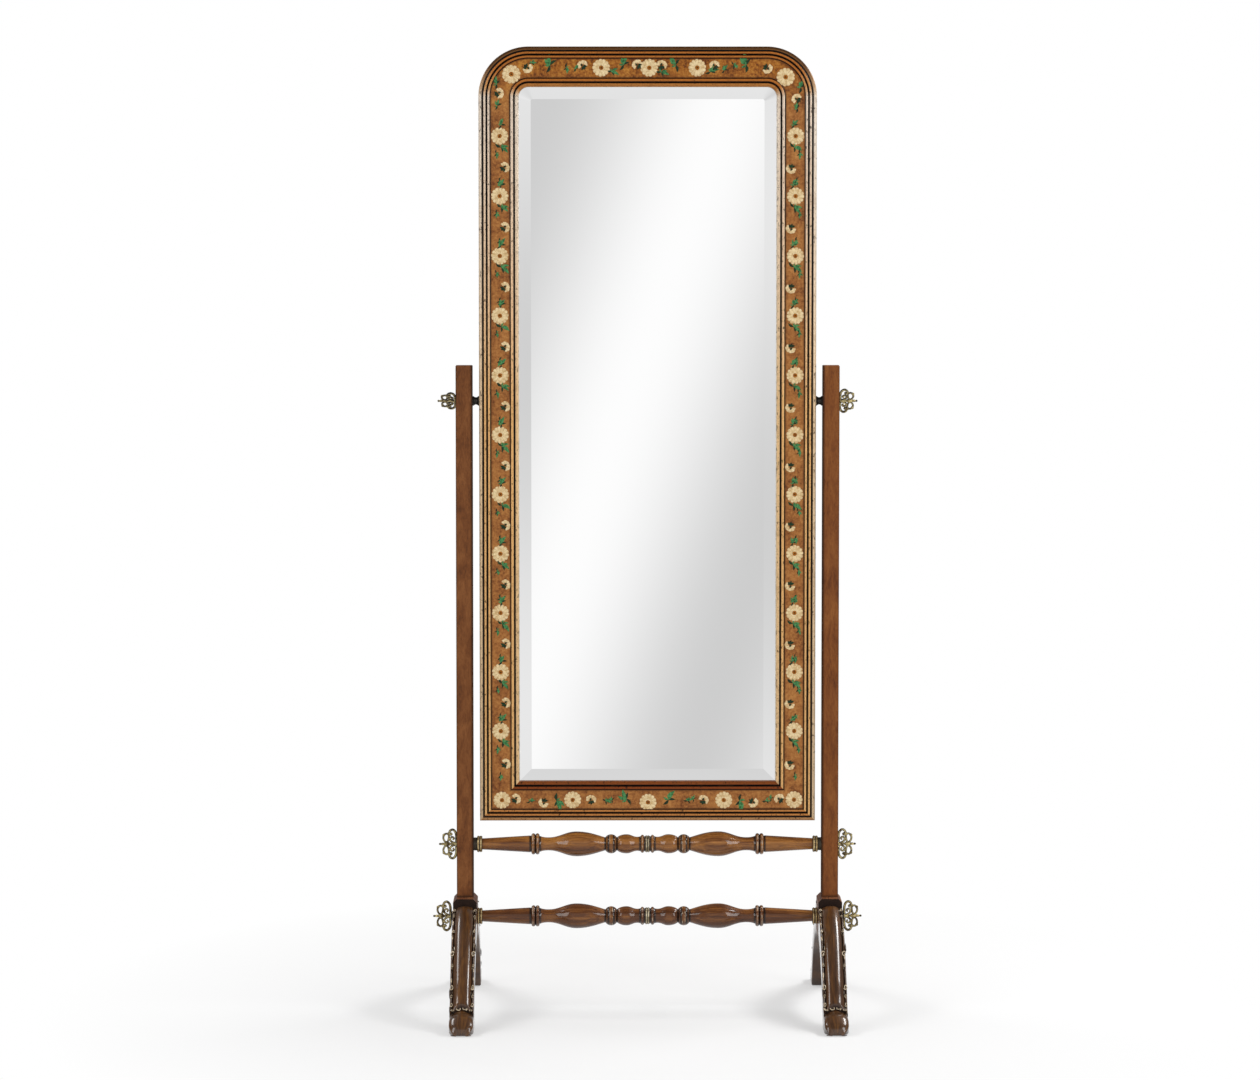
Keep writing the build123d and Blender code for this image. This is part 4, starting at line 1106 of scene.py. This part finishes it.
def studio_sky():
    """White for the camera, plain light for surfaces, and soft diagonal shades for what mirrors and gloss see."""
    world = bpy.data.worlds.new("studio")
    bpy.context.scene.world = world
    sky = Finish("studio", world)
    x, y, z = sky.place("Generated")[1]

    # What the mirror shows from the front: a diagonal wave of light, and a fainter one round it for the bevels
    band = 0.812 + (x * 77.7 - z * 26.8 - 1.579).math("COSINE") * 0.188
    around = 0.73 - (z * 42.7 + x * 6.0 + 2.28).math("COSINE") * 0.09 + (z - 0.06).between(0.0, 0.03) * 0.08
    across = abs(x - 0.009)
    aside = across.between(0.035, 0.07).most(abs(z + 0.0535).between(0.085, 0.13))
    shade = band + (around - band) * aside

    # What all other gloss shows: a darker room
    elsewhere = across.between(0.3, 0.45).most(abs(z + 0.05).between(0.5, 0.65))
    elsewhere = elsewhere.most((y + 0.75).between(0.0, 0.15))
    shade = shade + (0.34 - z.between(0.1, 0.5) * 0.2 - shade) * elsewhere
    seen, glossy = sky.rays()
    strength = seen + glossy * shade + (1 - seen - glossy).most(0.0) * 0.53
    light = sky.first("ShaderNodeBackground", None, {"Color": (1, 1, 1), "Strength": strength})
    sky.tree.links.new(light, sky.end.inputs[0])


def soft_lamp(name, place, target, width, height, watts):
    """A lamp with a rectangular face, turned towards its target."""
    lamp = bpy.data.lights.new(name, "AREA")
    lamp.shape, lamp.size, lamp.size_y, lamp.energy = "RECTANGLE", width, height, watts
    holder = linked(name, lamp)
    holder.location = place
    holder.rotation_euler = (Vector(target) - Vector(place)).to_track_quat("-Z", "Y").to_euler()


def studio_camera():
    camera = bpy.data.cameras.new("camera")
    camera.lens, camera.sensor_width, camera.sensor_fit = 134.3, 36.0, "HORIZONTAL"
    down, right = 4.32, 0.305
    holder = linked("camera", camera)
    holder.location = (-0.0838, -9.25, 1.63)
    holder.rotation_euler = Euler((math.radians(90 - down), 0, math.radians(-right)))
    bpy.context.scene.camera = holder


dress_stand()
dress_mirror()
add_legs()
add_castings()
studio_floor()
studio_sky()
soft_lamp("left_softbox", (-2.6, -3.0, 1.7), (0, 0, 0.7), 0.9, 2.6, 37)
soft_lamp("right_softbox", (2.6, -3.0, 1.7), (0, 0, 0.7), 0.9, 2.6, 46)
soft_lamp("left_strip", (-1.9, 0.55, 2.6), (-0.3, 0.4, 0.1), 2.6, 0.5, 30)
soft_lamp("right_strip", (1.9, 0.55, 2.6), (0.3, 0.4, 0.1), 2.6, 0.5, 60)
studio_camera()
bpy.context.scene.view_settings.view_transform = "Standard"
